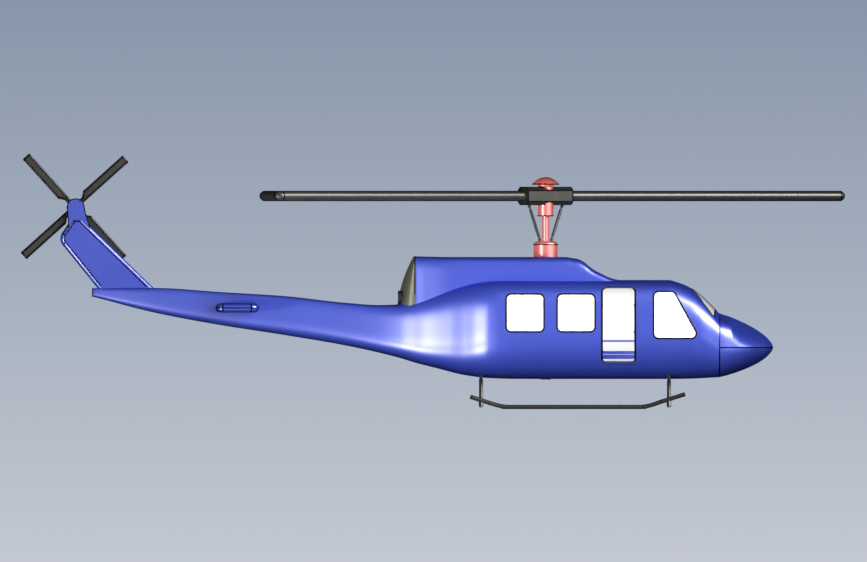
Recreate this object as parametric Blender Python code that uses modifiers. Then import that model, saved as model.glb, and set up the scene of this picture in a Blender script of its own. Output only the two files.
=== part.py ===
"""Medium twin-engined utility helicopter parked on its skids.

Metres, +X to the nose, +Y to port, +Z up. The origin is the middle of the lower face of the cargo hook plate,
under the belly and on the main mast's axis. Body sections are superellipses: each has a widest line, with its
own corner fullness above and below that line.
"""

import math

import bmesh
import bpy
import numpy as np
from mathutils import Matrix, Vector

GAP = 0.0003  # between pieces that touch
WALL = 0.045  # cabin wall, door and roof thickness
REAR_WALL = 0.020  # skin and frames of the tail boom and of the fuselage behind the cabin

# Body: lengths along X
BOOM_END = -8.610
BOOM_INSIDE = -8.450  # where the boom's solid end starts
BOOM_ROOT = -2.765
CABIN_REAR = -0.885
COCKPIT_REAR = 1.880
NOSE_SPLIT = 3.304
NOSE_TIP = 4.321
NOSE_LINE = 0.610  # height of the split between the two nose pieces
BELLY = 0.012
ROOF = 1.893
SIDE_LOW = 0.240
SIDE_HIGH = 1.790
HALF_WIDTH = 1.280
FLOOR_TOP = 0.262
FLOOR_THICK = 0.020

# Each table is a list of (X, value), joined by a smooth curve that doesn't overshoot
TOP = [
    (-8.61, 1.739), (-7.40, 1.741), (-6.19, 1.665), (-4.97, 1.589), (-3.75, 1.456), (-3.15, 1.418),
    (-2.84, 1.428), (-2.48, 1.510), (-2.10, 1.637), (-1.63, 1.785), (-1.25, 1.863), (-0.87, 1.892),
    (-0.50, ROOF), (2.32, ROOF), (2.55, 1.836), (2.78, 1.731), (3.01, 1.551), (3.304, 1.258),
]
BOTTOM = [
    (-8.61, 1.577), (-7.40, 1.266), (-6.19, 1.038), (-4.97, 0.848), (-3.75, 0.639), (-2.77, 0.411),
    (-2.46, 0.316), (-2.01, 0.202), (-1.55, 0.088), (-1.09, 0.030), (-0.60, 0.014), (0.0, BELLY),
    (2.32, BELLY), (2.74, 0.018), (3.20, 0.040), (3.304, 0.046),
]
WIDTH = [
    (-8.61, 0.095), (-7.40, 0.195), (-6.19, 0.256), (-4.97, 0.322), (-3.75, 0.424), (-3.15, 0.503),
    (-2.77, 0.580), (-2.48, 0.665), (-2.29, 0.725), (-1.82, 0.922), (-1.53, 1.064), (-1.28, 1.178),
    (-1.06, 1.249), (-0.87, 1.274), (-0.60, HALF_WIDTH), (2.45, HALF_WIDTH), (2.93, 1.254), (3.20, 1.208),
    (3.304, 1.190),
]
WIDEST = [
    (-8.61, 1.657), (-7.40, 1.504), (-6.19, 1.351), (-4.97, 1.218), (-3.75, 1.048), (-3.15, 0.962),
    (-2.29, 0.925), (-1.82, 0.981), (-1.25, 1.019), (-0.87, 1.038), (2.17, 1.038), (2.74, 0.962),
    (3.03, 0.810), (3.304, NOSE_LINE),
]
FULL_ABOVE = [
    (-8.61, 4.5), (-7.70, 6.0), (-4.67, 6.8), (-3.75, 6.8), (-3.15, 6.0), (-2.48, 5.0), (-1.82, 4.7),
    (-1.25, 4.5), (2.32, 4.7), (2.74, 4.4), (3.03, 3.4), (3.304, 2.3),
]
FULL_BELOW = [
    (-8.61, 3.0), (-4.67, 3.1), (-3.75, 3.4), (-2.29, 3.8), (-1.82, 3.6), (-1.25, 3.2), (-0.87, 2.9),
    (0.0, 2.6), (3.304, 2.4),
]
# Nose: values against the square root of the distance from the tip, as a share of the nose's length
NOSE_WIDTH = [
    (0.0, 0.0), (0.250, 0.300), (0.497, 0.602), (0.659, 0.855), (0.788, 1.028), (0.876, 1.123), (0.957, 1.173),
    (1.0, 1.190),
]
NOSE_RISE = [
    (0.0, 0.0), (0.237, 0.124), (0.410, 0.238), (0.627, 0.390), (0.785, 0.504), (0.917, 0.599), (1.0, 0.648),
]
NOSE_DROP = [
    (0.0, 0.0), (0.237, 0.112), (0.410, 0.219), (0.627, 0.352), (0.785, 0.447), (0.917, 0.523), (1.0, 0.564),
]
NOSE_FULL_ABOVE, NOSE_FULL_BELOW = (2.1, 2.3), (2.1, 2.4)  # at the tip and at the split

# Windows and doors, as corners on the side view (X, Z)
WINDOW_LOW, WINDOW_HIGH = 0.908, 1.627
WINDOWS = {"rear": (-0.750, -0.030), "middle": (0.220, 0.940)}
CORNER = 0.095
DOOR_REAR, DOOR_FRONT = 1.068, 1.706
DOOR_LOW, DOOR_HIGH = 0.306, 1.756
DOOR_GAP = 0.012
DOOR_SKIN = 0.018
DOOR_STEP = 0.018
COCKPIT_WINDOW = [(2.052, 0.781), (2.928, 0.781), (2.442, 1.676), (2.052, 1.676)]
WINDSCREEN = [(2.790, 0.045), (3.235, 0.045), (3.205, 0.990), (3.000, 0.980), (2.790, 0.720)]  # X, Y in plan
WINDSCREEN_CORNERS = [0.06, 0.06, 0.06, 0.0, 0.06]
PANE_DEPTH, PANE_THICK = 0.004, 0.012
SIDE_CUT = (0.6, 1.6)  # between these distances from the middle plane a cutter passes through one side wall
ROOF_CUT = (0.9, 2.2)
HINGE_RADIUS, HINGE_OUT, HINGE_HALF = 0.008, 0.010, 0.030
HINGE_HEIGHTS = (0.89, 1.40)
STRAP_REACH, STRAP_CLEAR, STRAP_IN, STRAP_OUT = 0.050, 0.011, 0.020, 0.004
LINK_REACH, LINK_OUT = 0.030, (0.001, 0.006)

# Cowling
COWL_REAR, COWL_FRONT = -2.481, 1.445
COWL_WALL = 0.020
COWL_BASE = 1.250
COWL_MIDDLE = 1.703
COWL_TOP = [
    (-2.481, 2.343), (-1.780, 2.330), (0.390, 2.330), (0.500, 2.311), (0.616, 2.292), (0.730, 2.235),
    (0.844, 2.140), (0.958, 2.064), (1.072, 2.007), (1.186, 1.950), (1.300, 1.912), (1.445, 1.885),
]
COWL_WIDTH = [
    (-2.481, 0.574), (-2.290, 0.615), (-1.816, 0.690), (-1.284, 0.722), (-0.866, 0.741), (0.084, 0.779),
    (1.034, 0.798), (1.445, 0.798),
]
COWL_FULL = 8.0
COWL_SPANS = [(COWL_REAR, -1.78, 2), (-1.78, 0.39, 3), (0.39, COWL_FRONT, 11)]
COWL_UNDER = 0.1  # how far the hollow under the cowling's wall starts below its base
ENGINE_LOW, ENGINE_HIGH = (-2.05, -0.42, 1.8935), (-0.25, 0.42, 2.250)
CAP_BULGE, CAP_LOW, CAP_DEEPEST = 0.304, 1.350, 0.925  # reach to the rear, lower edge, height that it takes
CAP_FLAT, CAP_EDGE, CAP_TOP_GAP = 0.012, 0.010, 0.004  # least bulge, straight rim, space at the top
CAP_BELLIED, CAP_ROUND = 0.65, 0.9
EXHAUST_SIDE, EXHAUST_HEIGHT = 0.270, 1.560
EXHAUST_RADIUS, EXHAUST_BORE = 0.128, 0.112
EXHAUST_FRONT, EXHAUST_BOTTOM, EXHAUST_REAR = -2.490, -2.600, -2.806

# Main rotor
HOUSING_LOW, HOUSING_HIGH = 2.3305, 2.569
HOUSING_RADIUS, HOUSING_BORE = 0.228, 0.075
SWASH_HIGH = 2.626
SWASH_SHOULDERS = [(0.168, 0.0), (0.200, 0.012), (0.222, 0.034)]  # radius, and depth below its top
MAST_RADIUS, MAST_LOW = 0.0646, 2.380
COLLAR_RADIUS, COLLAR_LOW, COLLAR_HIGH = 0.147, 3.109, 3.707
CAP_RADIUS, CAP_HIGH = 0.2565, 3.848
HUB_LOW, HUB_HIGH = 3.328, 3.651
HUB_LENGTH, HUB_WIDTH, HUB_CHAMFER = 1.045, 0.327, 0.057
HUB_TURN = math.radians(36)
BLADE_MIDDLE, BLADE_THICK = 3.489, 0.177
BLADE_TIP = 6.684
BLADE_FAR, BLADE_NEAR = (0.099, 0.141), (0.099, 0.580)  # offsets of the two edges at root and tip
BLADE_CORNER = 0.085
BLADE_CUTS = [1.2, 2.4, 3.6, 4.8, 5.9]
TIP_STEPS = 5
LINK_RADIUS = 0.0285
LINK_TOP_OUT, LINK_LOW_OUT = 0.391, 0.130

# Tail
TAIL_HUB = Vector((-8.949, 0.0, 3.274))
TAIL_TURN = math.radians(42)  # of the first blade above the +X direction
TAIL_SIDE = 0.330  # middle plane of the tail rotor
TAIL_RADIUS, TAIL_HUB_RADIUS, TAIL_HUB_HALF = 1.340, 0.150, 0.045
TAIL_SPINDLE, TAIL_SPINDLE_PAST = 0.075, 0.080
TAIL_BLADE_THICK = 0.060
TAIL_BLADE = [
    (0.080, -0.049), (TAIL_RADIUS, -0.049), (TAIL_RADIUS, 0.124), (0.330, 0.124), (0.230, 0.049),
    (0.080, 0.049),
]
TAIL_BLADE_CORNERS = [0, 0.015, 0.015, 0.04, 0.04, 0]
FIN_HALF = 0.078
FIN_CORNERS = [0, 0.10, 0.10, 0.195, 0]
FAIRING_HALF = 0.070
FIN = [(-7.321, 1.620), (-8.829, 3.084), (-8.988, 3.084), (-9.267, 2.671), (-8.419, 1.620)]
FAIRING = [(-8.628, 2.800), (-8.744, 3.152), (-8.800, 3.433), (-9.092, 3.433), (-9.055, 2.835)]
FAIRING_CORNERS = [0, 0.10, 0.140, 0.140, 0]
STAB_REAR, STAB_FRONT = -6.260, -5.461
STAB_LOW, STAB_HIGH, STAB_SPAN = 1.287, 1.437, 1.430
STAB_CORNERS = [0, 0, 0.13, 0.13]

# Landing gear
GROUND = -0.560
SKID_SIDE, SKID_RADIUS = 1.320, 0.041
SKID_PATH = [
    (-1.429, -0.325), (-1.074, -0.440), (-0.960, -0.474), (-0.860, -0.500), (-0.762, -0.514),
    (-0.640, -0.519), (1.720, -0.519), (1.841, -0.514), (1.940, -0.500), (2.060, -0.467),
    (2.193, -0.420), (2.649, -0.277),
]
CROSS_RADIUS = 0.038
CROSS_PLACES = {"rear": -1.227, "front": 2.343}
CROSS_BELOW = 0.006  # space between the belly and the bar's top
CROSS_BEND = [(0.90, 0.0), (1.02, 0.020), (1.11, 0.080), (1.17, 0.170)]  # Y, and depth below the bar's level
CROSS_FOOT = (1.30, 0.06)  # Y, and height above the skid's middle
SADDLE_SIDE, SADDLE_HALF_LONG, SADDLE_HALF_WIDE, SADDLE_TALL = 0.620, 0.030, 0.040, 0.30
PLATE_HALF = 0.10

# Seats, as rear edge, middle line, width, depth and height of the back
SEATS = {
    "seat_left": (2.02, 0.46, 0.50, 0.50, 1.05),
    "seat_right": (2.02, -0.46, 0.50, 0.50, 1.05),
    "bench_seat": (-0.82, 0.0, 1.60, 0.50, 0.95),
}
CUSHION_HIGH, BACK_FOOT, BACK_HEAD = 0.38, 0.14, 0.09
SEAT_CORNERS = [0, 0, 0.06, 0.02, 0.03, 0.03]
PANEL_LOW, PANEL_HIGH = (2.86, -0.62), (3.02, 0.62, 0.98)

# Finish of the curved forms: points round a section, and the steps between sections
RING_POINTS = 32
INSIDE_POINTS = 16
BOOM_SPANS = [(BOOM_END, -3.75, 7), (-3.75, BOOM_ROOT, 4)]
AFT_SPANS = [(BOOM_ROOT, CABIN_REAR, 11)]
CABIN_SPANS = [(CABIN_REAR, COCKPIT_REAR, 3), (COCKPIT_REAR, NOSE_SPLIT, 10)]
NOSE_SHARES = [1.0, 0.93, 0.84, 0.74, 0.63, 0.51, 0.39, 0.26, 0.13, 0.0]


def smooth(table, place):
    """Value at this place on the curve through a table's points, with no overshoot between them."""
    xs = [row[0] for row in table]
    ys = [row[1] for row in table]
    steps = [b - a for a, b in zip(xs, xs[1:])]
    slopes = [(b - a) / step for a, b, step in zip(ys, ys[1:], steps)]
    tangents = [slopes[0]]
    for i in range(1, len(xs) - 1):
        before, after = slopes[i - 1], slopes[i]
        if before * after <= 0:
            tangents.append(0.0)
            continue
        weight_a = 2 * steps[i] + steps[i - 1]
        weight_b = steps[i] + 2 * steps[i - 1]
        tangents.append((weight_a + weight_b) / (weight_a / before + weight_b / after))
    tangents.append(slopes[-1])
    place = min(max(place, xs[0]), xs[-1])
    i = min(max(int(np.searchsorted(xs, place)) - 1, 0), len(steps) - 1)
    t = (place - xs[i]) / steps[i]
    curve = ys[i] * (1 + 2 * t) * (1 - t) ** 2 + ys[i + 1] * t * t * (3 - 2 * t)
    return curve + steps[i] * t * (1 - t) * (tangents[i] * (1 - t) - tangents[i + 1] * t)


def power(value, exponent):
    return math.copysign(abs(value) ** exponent, value)


def ring(x, width, widest, rise, drop, above, below, count=RING_POINTS):
    """Points round a superellipse section at X, from port, over the top, to starboard and under."""
    points = []
    for k in range(count):
        angle = 2 * math.pi * k / count
        full, height = (above, rise) if k < count / 2 else (below, drop)
        y = width * power(math.cos(angle), 2 / full)
        z = widest + height * power(math.sin(angle), 2 / full)
        points.append(Vector((x, y, z)))
    return points


def body_ring(x, inset, count=RING_POINTS):
    """The body's section at X, moved in by a wall's thickness."""
    widest = smooth(WIDEST, x)
    return ring(
        x,
        smooth(WIDTH, x) - inset,
        widest,
        smooth(TOP, x) - widest - inset,
        widest - smooth(BOTTOM, x) - inset,
        smooth(FULL_ABOVE, x),
        smooth(FULL_BELOW, x),
        count,
    )


def nose_ring(share):
    length = NOSE_TIP - NOSE_SPLIT
    return ring(
        NOSE_TIP - length * share * share,
        smooth(NOSE_WIDTH, share),
        NOSE_LINE,
        smooth(NOSE_RISE, share),
        smooth(NOSE_DROP, share),
        NOSE_FULL_ABOVE[0] + (NOSE_FULL_ABOVE[1] - NOSE_FULL_ABOVE[0]) * share,
        NOSE_FULL_BELOW[0] + (NOSE_FULL_BELOW[1] - NOSE_FULL_BELOW[0]) * share,
    )


def collection(name):
    made = bpy.data.collections.new(name)
    bpy.context.scene.collection.children.link(made)
    return made


def material(name, color, roughness, metallic=0.0):
    made = bpy.data.materials.new(name)
    made.use_nodes = True
    shader = made.node_tree.nodes["Principled BSDF"]
    shader.inputs["Base Color"].default_value = (*color, 1)
    shader.inputs["Roughness"].default_value = roughness
    shader.inputs["Metallic"].default_value = metallic
    return made


def put(name, mesh, finish=None):
    """An object from a mesh: a part with its finish, or without one a hidden tool for cutting and joining."""
    obj = bpy.data.objects.new(name, mesh)
    if finish is None:
        TOOLS.objects.link(obj)
        obj.hide_render = True
        obj.display_type = "WIRE"
    else:
        PARTS.objects.link(obj)
        mesh.materials.clear()
        mesh.materials.append(finish)
    return obj


def mesh_of(form, name):
    bmesh.ops.recalc_face_normals(form, faces=form.faces)
    mesh = bpy.data.meshes.new(name)
    form.to_mesh(mesh)
    form.free()
    return mesh


def loft(name, rings, finish=None, closed_tip=False):
    """A closed solid through rings of points, with flat ends, or with the last ring drawn to one point."""
    form = bmesh.new()
    rows = [[form.verts.new(point) for point in points] for points in rings]
    if closed_tip:
        last = rows.pop()
        tip = last[0]
        for vertex in last[1:]:
            form.verts.remove(vertex)
        form.faces.new(rows[0])
        for a, b in zip(rows[-1], rows[-1][1:] + rows[-1][:1]):
            form.faces.new((a, b, tip))
    else:
        form.faces.new(rows[0])
        form.faces.new(rows[-1])
    for first, second in zip(rows, rows[1:]):
        for i in range(len(first)):
            j = (i + 1) % len(first)
            form.faces.new((first[i], first[j], second[j], second[i]))
    bmesh.ops.triangulate(form, faces=[f for f in form.faces if len(f.verts) == 4], quad_method="FIXED")
    obj = put(name, mesh_of(form, name), finish)
    smooth_shade(obj)
    return obj


def box(name, low, high, finish=None):
    form = bmesh.new()
    bmesh.ops.create_cube(form, size=1)
    size = [h - l for l, h in zip(low, high)]
    middle = [(h + l) / 2 for l, h in zip(low, high)]
    bmesh.ops.scale(form, vec=size, verts=form.verts)
    bmesh.ops.translate(form, vec=middle, verts=form.verts)
    return put(name, mesh_of(form, name), finish)


def rod(name, start, end, radius, finish=None, sides=24):
    """A straight round bar between two points."""
    start, end = Vector(start), Vector(end)
    along = end - start
    form = bmesh.new()
    long = along.length
    bmesh.ops.create_cone(form, cap_ends=True, segments=sides, radius1=radius, radius2=radius, depth=long)
    turn = Vector((0, 0, 1)).rotation_difference(along).to_matrix().to_4x4()
    bmesh.ops.transform(form, matrix=Matrix.Translation((start + end) / 2) @ turn, verts=form.verts)
    obj = put(name, mesh_of(form, name), finish)
    smooth_shade(obj)
    return obj


def rounded(corners, radius, steps=4):
    """A closed outline with each corner of a polygon rounded by an arc."""
    points = []
    radii = radius if isinstance(radius, (list, tuple)) else [radius] * len(corners)
    for i, corner in enumerate(corners):
        here = Vector(corner)
        before = (Vector(corners[i - 1]) - here).normalized()
        after = (Vector(corners[(i + 1) % len(corners)]) - here).normalized()
        half = before.angle(after) / 2
        if radii[i] == 0:
            points.append(here)
            continue
        reach = radii[i] / math.tan(half)
        centre = here + (before + after).normalized() * radii[i] / math.sin(half)
        first = here + before * reach - centre
        last = here + after * reach - centre
        sweep = math.pi - 2 * half
        side = math.copysign(1, first.x * last.y - first.y * last.x)
        for k in range(steps + 1):
            turn = side * sweep * k / steps
            points.append(centre + Matrix.Rotation(turn, 2) @ first)
    return points


def prism(name, outline, along, low, high, finish=None):
    """A flat outline pushed through along Y, with its points read as X and Z, or along Z, read as X and Y."""
    form = bmesh.new()
    if along == "Y":
        face = form.faces.new([form.verts.new((p[0], low, p[1])) for p in outline])
        push = (0, high - low, 0)
    else:
        face = form.faces.new([form.verts.new((p[0], p[1], low)) for p in outline])
        push = (0, 0, high - low)
    made = bmesh.ops.extrude_face_region(form, geom=[face])
    moved = [item for item in made["geom"] if isinstance(item, bmesh.types.BMVert)]
    bmesh.ops.translate(form, vec=push, verts=moved)
    return put(name, mesh_of(form, name), finish)


def round_plate(name, corners, radii, half, place, finish=None, reach=0.0, steps=3):
    """A flat plate with full round edges, lofted through outlines moved in by the rounding less a reach.

    place turns a point of the outline and its distance from the plate's middle plane into a point in space.
    """
    rings = []
    for k in range(-steps, steps + 1):
        angle = math.pi / 2 * k / steps
        shrink = half * (1 - math.cos(angle)) - reach
        outline = inset_outline(corners, shrink, [max(r - shrink, 0.001) if r else 0 for r in radii])
        rings.append([place(p.x, p.y, (half + reach) * math.sin(angle)) for p in outline])
    return loft(name, rings, finish)


def upright(u, v, across):
    return Vector((u, across, v))


def turned(name, profile, finish, sides=32):
    """A solid of revolution about the mast's axis, from (radius, height) points down its outer side."""
    form = bmesh.new()
    points = [form.verts.new((r, 0, z)) for r, z in profile]
    closed = profile[0][0] > 0
    for a, b in zip(points, points[1:]):
        form.edges.new((a, b))
    if closed:
        form.edges.new((points[-1], points[0]))
    mesh = bpy.data.meshes.new(name)
    form.to_mesh(mesh)
    form.free()
    obj = put(name, mesh, finish)
    screw = obj.modifiers.new("turn", "SCREW")
    screw.steps = sides
    screw.render_steps = sides
    screw.use_merge_vertices = True
    screw.merge_threshold = 0.0001
    return obj


def carve(obj, operation, *others):
    for other in others:
        cut = obj.modifiers.new(operation.lower(), "BOOLEAN")
        cut.operation = operation
        cut.object = other
        cut.solver = "EXACT"


def bevel(obj, width, segments=3):
    edge = obj.modifiers.new("rounding", "BEVEL")
    edge.width = width
    edge.segments = segments
    edge.limit_method = "ANGLE"


def smooth_shade(obj):
    obj.data.shade_smooth()
    obj.data.set_sharp_from_angle(angle=math.radians(35))


def spread(*spans):
    """Places along X: each span is (start, end, steps)."""
    places = []
    for start, end, steps in spans:
        places += [start + (end - start) * k / steps for k in range(steps)]
    return places + [spans[-1][1]]


def fuselage_tools():
    """Closed forms that the cabin's pieces are cut from: the outer skin and the faces inside it."""
    places = spread(*CABIN_SPANS)
    extra = 0.4
    forms = {}
    for key, inset, reach in (
        ("skin", 0.0, 0.0),
        ("lining", WALL, extra),
        ("lining_clear", WALL + GAP, 0.0),
        ("door_step", DOOR_SKIN, extra),
        ("door_back", DOOR_SKIN - 0.0005, extra),
        ("pane_front", PANE_DEPTH, extra),
        ("pane_back", PANE_DEPTH + PANE_THICK, extra),
    ):
        rings = [body_ring(x, inset) for x in places]
        if reach:
            ahead = [Vector((p.x + reach, p.y, p.z)) for p in rings[-1]]
            behind = [Vector((p.x - reach, p.y, p.z)) for p in rings[0]]
            rings = [behind] + rings + [ahead]
        forms[key] = loft("tool_" + key, rings)
    return forms


def window_outline(name, grow=0.0):
    low_x, high_x = WINDOWS[name]
    corners = [
        (low_x - grow, WINDOW_LOW - grow),
        (high_x + grow, WINDOW_LOW - grow),
        (high_x + grow, WINDOW_HIGH + grow),
        (low_x - grow, WINDOW_HIGH + grow),
    ]
    return rounded(corners, CORNER + grow)


def door_outline(shrink):
    corners = [
        (DOOR_REAR + shrink, DOOR_LOW + shrink),
        (DOOR_FRONT - shrink, DOOR_LOW + shrink),
        (DOOR_FRONT - shrink, DOOR_HIGH - shrink),
        (DOOR_REAR + shrink, DOOR_HIGH - shrink),
    ]
    return rounded(corners, CORNER - shrink * 0.5)


def inset_outline(corners, shrink, radius):
    """The polygon moved in by a small distance on every side, then rounded."""
    moved = []
    middle = sum((Vector(c) for c in corners), Vector((0, 0))) / len(corners)
    for i, corner in enumerate(corners):
        here = Vector(corner)
        before = (here - Vector(corners[i - 1])).normalized()
        after = (Vector(corners[(i + 1) % len(corners)]) - here).normalized()
        inward = Vector((-before.y, before.x)) + Vector((-after.y, after.x))
        if inward.dot(middle - here) < 0:
            inward.negate()
        inward.normalize()
        half = before.angle(after) / 2
        moved.append(here + inward * shrink / math.cos(half))
    return rounded(moved, radius)


def cabin(forms, paint):
    """The cabin's hollow shell in its panels, with windows and doors cut through."""
    rear, front = CABIN_REAR + GAP, NOSE_SPLIT - GAP
    side = HALF_WIDTH + 0.2
    cutters = {}
    for sign, hand in ((1, "left"), (-1, "right")):
        low, high = sorted(sign * edge for edge in SIDE_CUT)
        cutters[hand] = [
            prism(f"tool_window_{name}_{hand}", window_outline(name), "Y", low, high) for name in WINDOWS
        ]
        cutters[hand].append(prism(f"tool_door_{hand}", door_outline(0), "Y", low, high))
    roof = box("cabin_roof", (rear, -side, SIDE_HIGH + GAP), (COCKPIT_REAR - GAP, side, ROOF + 0.1), paint)
    carve(roof, "INTERSECT", forms["skin"])
    carve(roof, "DIFFERENCE", forms["lining"])
    belly = box("cabin_belly", (rear, -side, BELLY - 0.1), (front, side, SIDE_LOW - GAP), paint)
    carve(belly, "INTERSECT", forms["skin"])
    carve(belly, "DIFFERENCE", forms["lining"])
    for sign, hand in ((1, "left"), (-1, "right")):
        low, high = sorted((sign * 0.2, sign * side))
        wall = box(f"cabin_side_{hand}", (rear, low, SIDE_LOW), (COCKPIT_REAR - GAP, high, SIDE_HIGH), paint)
        carve(wall, "INTERSECT", forms["skin"])
        carve(wall, "DIFFERENCE", forms["lining"], *cutters[hand])
        for number, height in enumerate(HINGE_HEIGHTS):
            carve(wall, "UNION", hinge_half(f"tool_frame_hinge_{hand}_{number}", sign, height, False))
    cockpit = box("cockpit_shell", (COCKPIT_REAR, -side, SIDE_LOW), (front, side, ROOF + 0.1), paint)
    carve(cockpit, "INTERSECT", forms["skin"])
    carve(cockpit, "DIFFERENCE", forms["lining"])
    outline = rounded(COCKPIT_WINDOW, CORNER)
    carve(cockpit, "DIFFERENCE", prism("tool_cockpit_windows", outline, "Y", -SIDE_CUT[1], SIDE_CUT[1]))
    for sign, hand in ((1, "left"), (-1, "right")):
        outline = rounded([(x, sign * y) for x, y in WINDSCREEN], WINDSCREEN_CORNERS)
        carve(cockpit, "DIFFERENCE", prism(f"tool_windscreen_{hand}", outline, "Z", *ROOF_CUT))
    low, high = (rear, -side, FLOOR_TOP - FLOOR_THICK), (front, side, FLOOR_TOP)
    floor = box("cabin_floor", low, high, FINISH["floor"])
    carve(floor, "INTERSECT", forms["lining_clear"])


def panes(forms, glazing):
    for sign, hand in ((1, "left"), (-1, "right")):
        low, high = sorted(sign * edge for edge in SIDE_CUT)
        made = []
        for name in WINDOWS:
            made.append(prism(f"window_{name}_{hand}", window_outline(name, -GAP), "Y", low, high, glazing))
        outline = inset_outline(COCKPIT_WINDOW, GAP, CORNER)
        made.append(prism(f"cockpit_window_{hand}", outline, "Y", low, high, glazing))
        corners = [(x, sign * y) for x, y in WINDSCREEN]
        outline = inset_outline(corners, GAP, WINDSCREEN_CORNERS)
        made.append(prism(f"windscreen_{hand}", outline, "Z", *ROOF_CUT, glazing))
        for pane in made:
            carve(pane, "INTERSECT", forms["pane_front"])
            carve(pane, "DIFFERENCE", forms["pane_back"])


def hinge_half(name, sign, height, on_door):
    """A knuckle on the hinge's axis and the strap that carries it: the door's is above the frame's."""
    side = sign * (HALF_WIDTH + HINGE_OUT)
    axis_x = DOOR_FRONT - DOOR_GAP / 2
    way = 1 if on_door else -1
    low, high = sorted((height + way * GAP / 2, height + way * HINGE_HALF))
    knuckle = rod(name, (axis_x, side, low), (axis_x, side, high), HINGE_RADIUS, sides=12)
    near, far = sorted((sign * (HALF_WIDTH - STRAP_IN), sign * (HALF_WIDTH + STRAP_OUT)))
    span = sorted((axis_x - way * STRAP_CLEAR, axis_x - way * STRAP_REACH))
    strap = box(name + "_strap", (span[0], near, low), (span[1], far, high))
    near, far = sorted(sign * (HALF_WIDTH + out) for out in LINK_OUT)
    span = sorted((axis_x, axis_x - way * LINK_REACH))
    link = box(name + "_link", (span[0], near, low), (span[1], far, high))
    carve(knuckle, "UNION", link, strap)
    return knuckle


def doors(forms, paint):
    for sign, hand in ((1, "left"), (-1, "right")):
        low, high = sorted(sign * edge for edge in SIDE_CUT)
        leaf = prism(f"door_{hand}", door_outline(DOOR_GAP), "Y", low, high, paint)
        carve(leaf, "INTERSECT", forms["skin"])
        carve(leaf, "DIFFERENCE", forms["door_step"])
        pan = prism(f"tool_door_pan_{hand}", door_outline(DOOR_GAP + DOOR_STEP), "Y", low, high)
        carve(pan, "INTERSECT", forms["door_back"])
        carve(pan, "DIFFERENCE", forms["lining"])
        carve(leaf, "UNION", pan)
        for number, height in enumerate(HINGE_HEIGHTS):
            carve(leaf, "UNION", hinge_half(f"tool_leaf_hinge_{hand}_{number}", sign, height, True))


def rear_body(paint):
    """The hollow fuselage behind the cabin, closed by the cabin's rear bulkhead, and the hollow tail boom."""
    tail_boom = loft("tail_boom", [body_ring(x, 0) for x in spread(*BOOM_SPANS)], paint)
    rings = [body_ring(x, 0) for x in spread(*AFT_SPANS)]
    for point in rings[0]:
        point.x += GAP
    aft_fuselage = loft("aft_fuselage", rings, paint)
    places = spread((BOOM_INSIDE, *BOOM_SPANS[0][1:]), BOOM_SPANS[1], *AFT_SPANS)
    inside = [body_ring(x, REAR_WALL, INSIDE_POINTS) for x in places]
    for point in inside[-1]:
        point.x -= REAR_WALL
    hollow = loft("tool_rear_inside", inside)
    for piece in (tail_boom, aft_fuselage):
        carve(piece, "DIFFERENCE", hollow)
    places = spread(*BOOM_SPANS, *AFT_SPANS, *CABIN_SPANS)
    return loft("tool_body_clear", [body_ring(x, -GAP) for x in places])


def nose(paint):
    form = loft("tool_nose", [nose_ring(share) for share in NOSE_SHARES], closed_tip=True)
    low = (NOSE_SPLIT, -2, NOSE_LINE + GAP)
    upper = box("nose_upper", low, (NOSE_TIP + 0.1, 2, 2), paint)
    lower = box("nose_lower", (NOSE_SPLIT, -2, -1), (NOSE_TIP + 0.1, 2, NOSE_LINE), paint)
    for piece in (upper, lower):
        carve(piece, "INTERSECT", form)


def cowl_ring(x, inset):
    rise = smooth(COWL_TOP, x) - COWL_MIDDLE - inset
    width = smooth(COWL_WIDTH, x) - inset
    points = [Vector((x, width, COWL_BASE))]
    half = RING_POINTS // 2
    for k in range(half + 1):
        angle = math.pi * k / half
        y = width * power(math.cos(angle), 2 / COWL_FULL)
        points.append(Vector((x, y, COWL_MIDDLE + rise * power(math.sin(angle), 2 / COWL_FULL))))
    points.append(Vector((x, -width, COWL_BASE)))
    return points


def cowling(body_clear):
    places = spread(*COWL_SPANS)
    cover = loft("cowling", [cowl_ring(x, 0) for x in places], FINISH["paint"])
    inner = [cowl_ring(x, COWL_WALL) for x in places[:-2]]
    inner[0] = [Vector((p.x - 0.1, p.y, p.z)) for p in inner[0]]
    for points in inner:
        points[0].z = points[-1].z = COWL_BASE - COWL_UNDER
    carve(cover, "DIFFERENCE", loft("tool_cowl_inside", inner), body_clear)
    box("engine_block", ENGINE_LOW, ENGINE_HIGH, FINISH["engine"])


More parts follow.
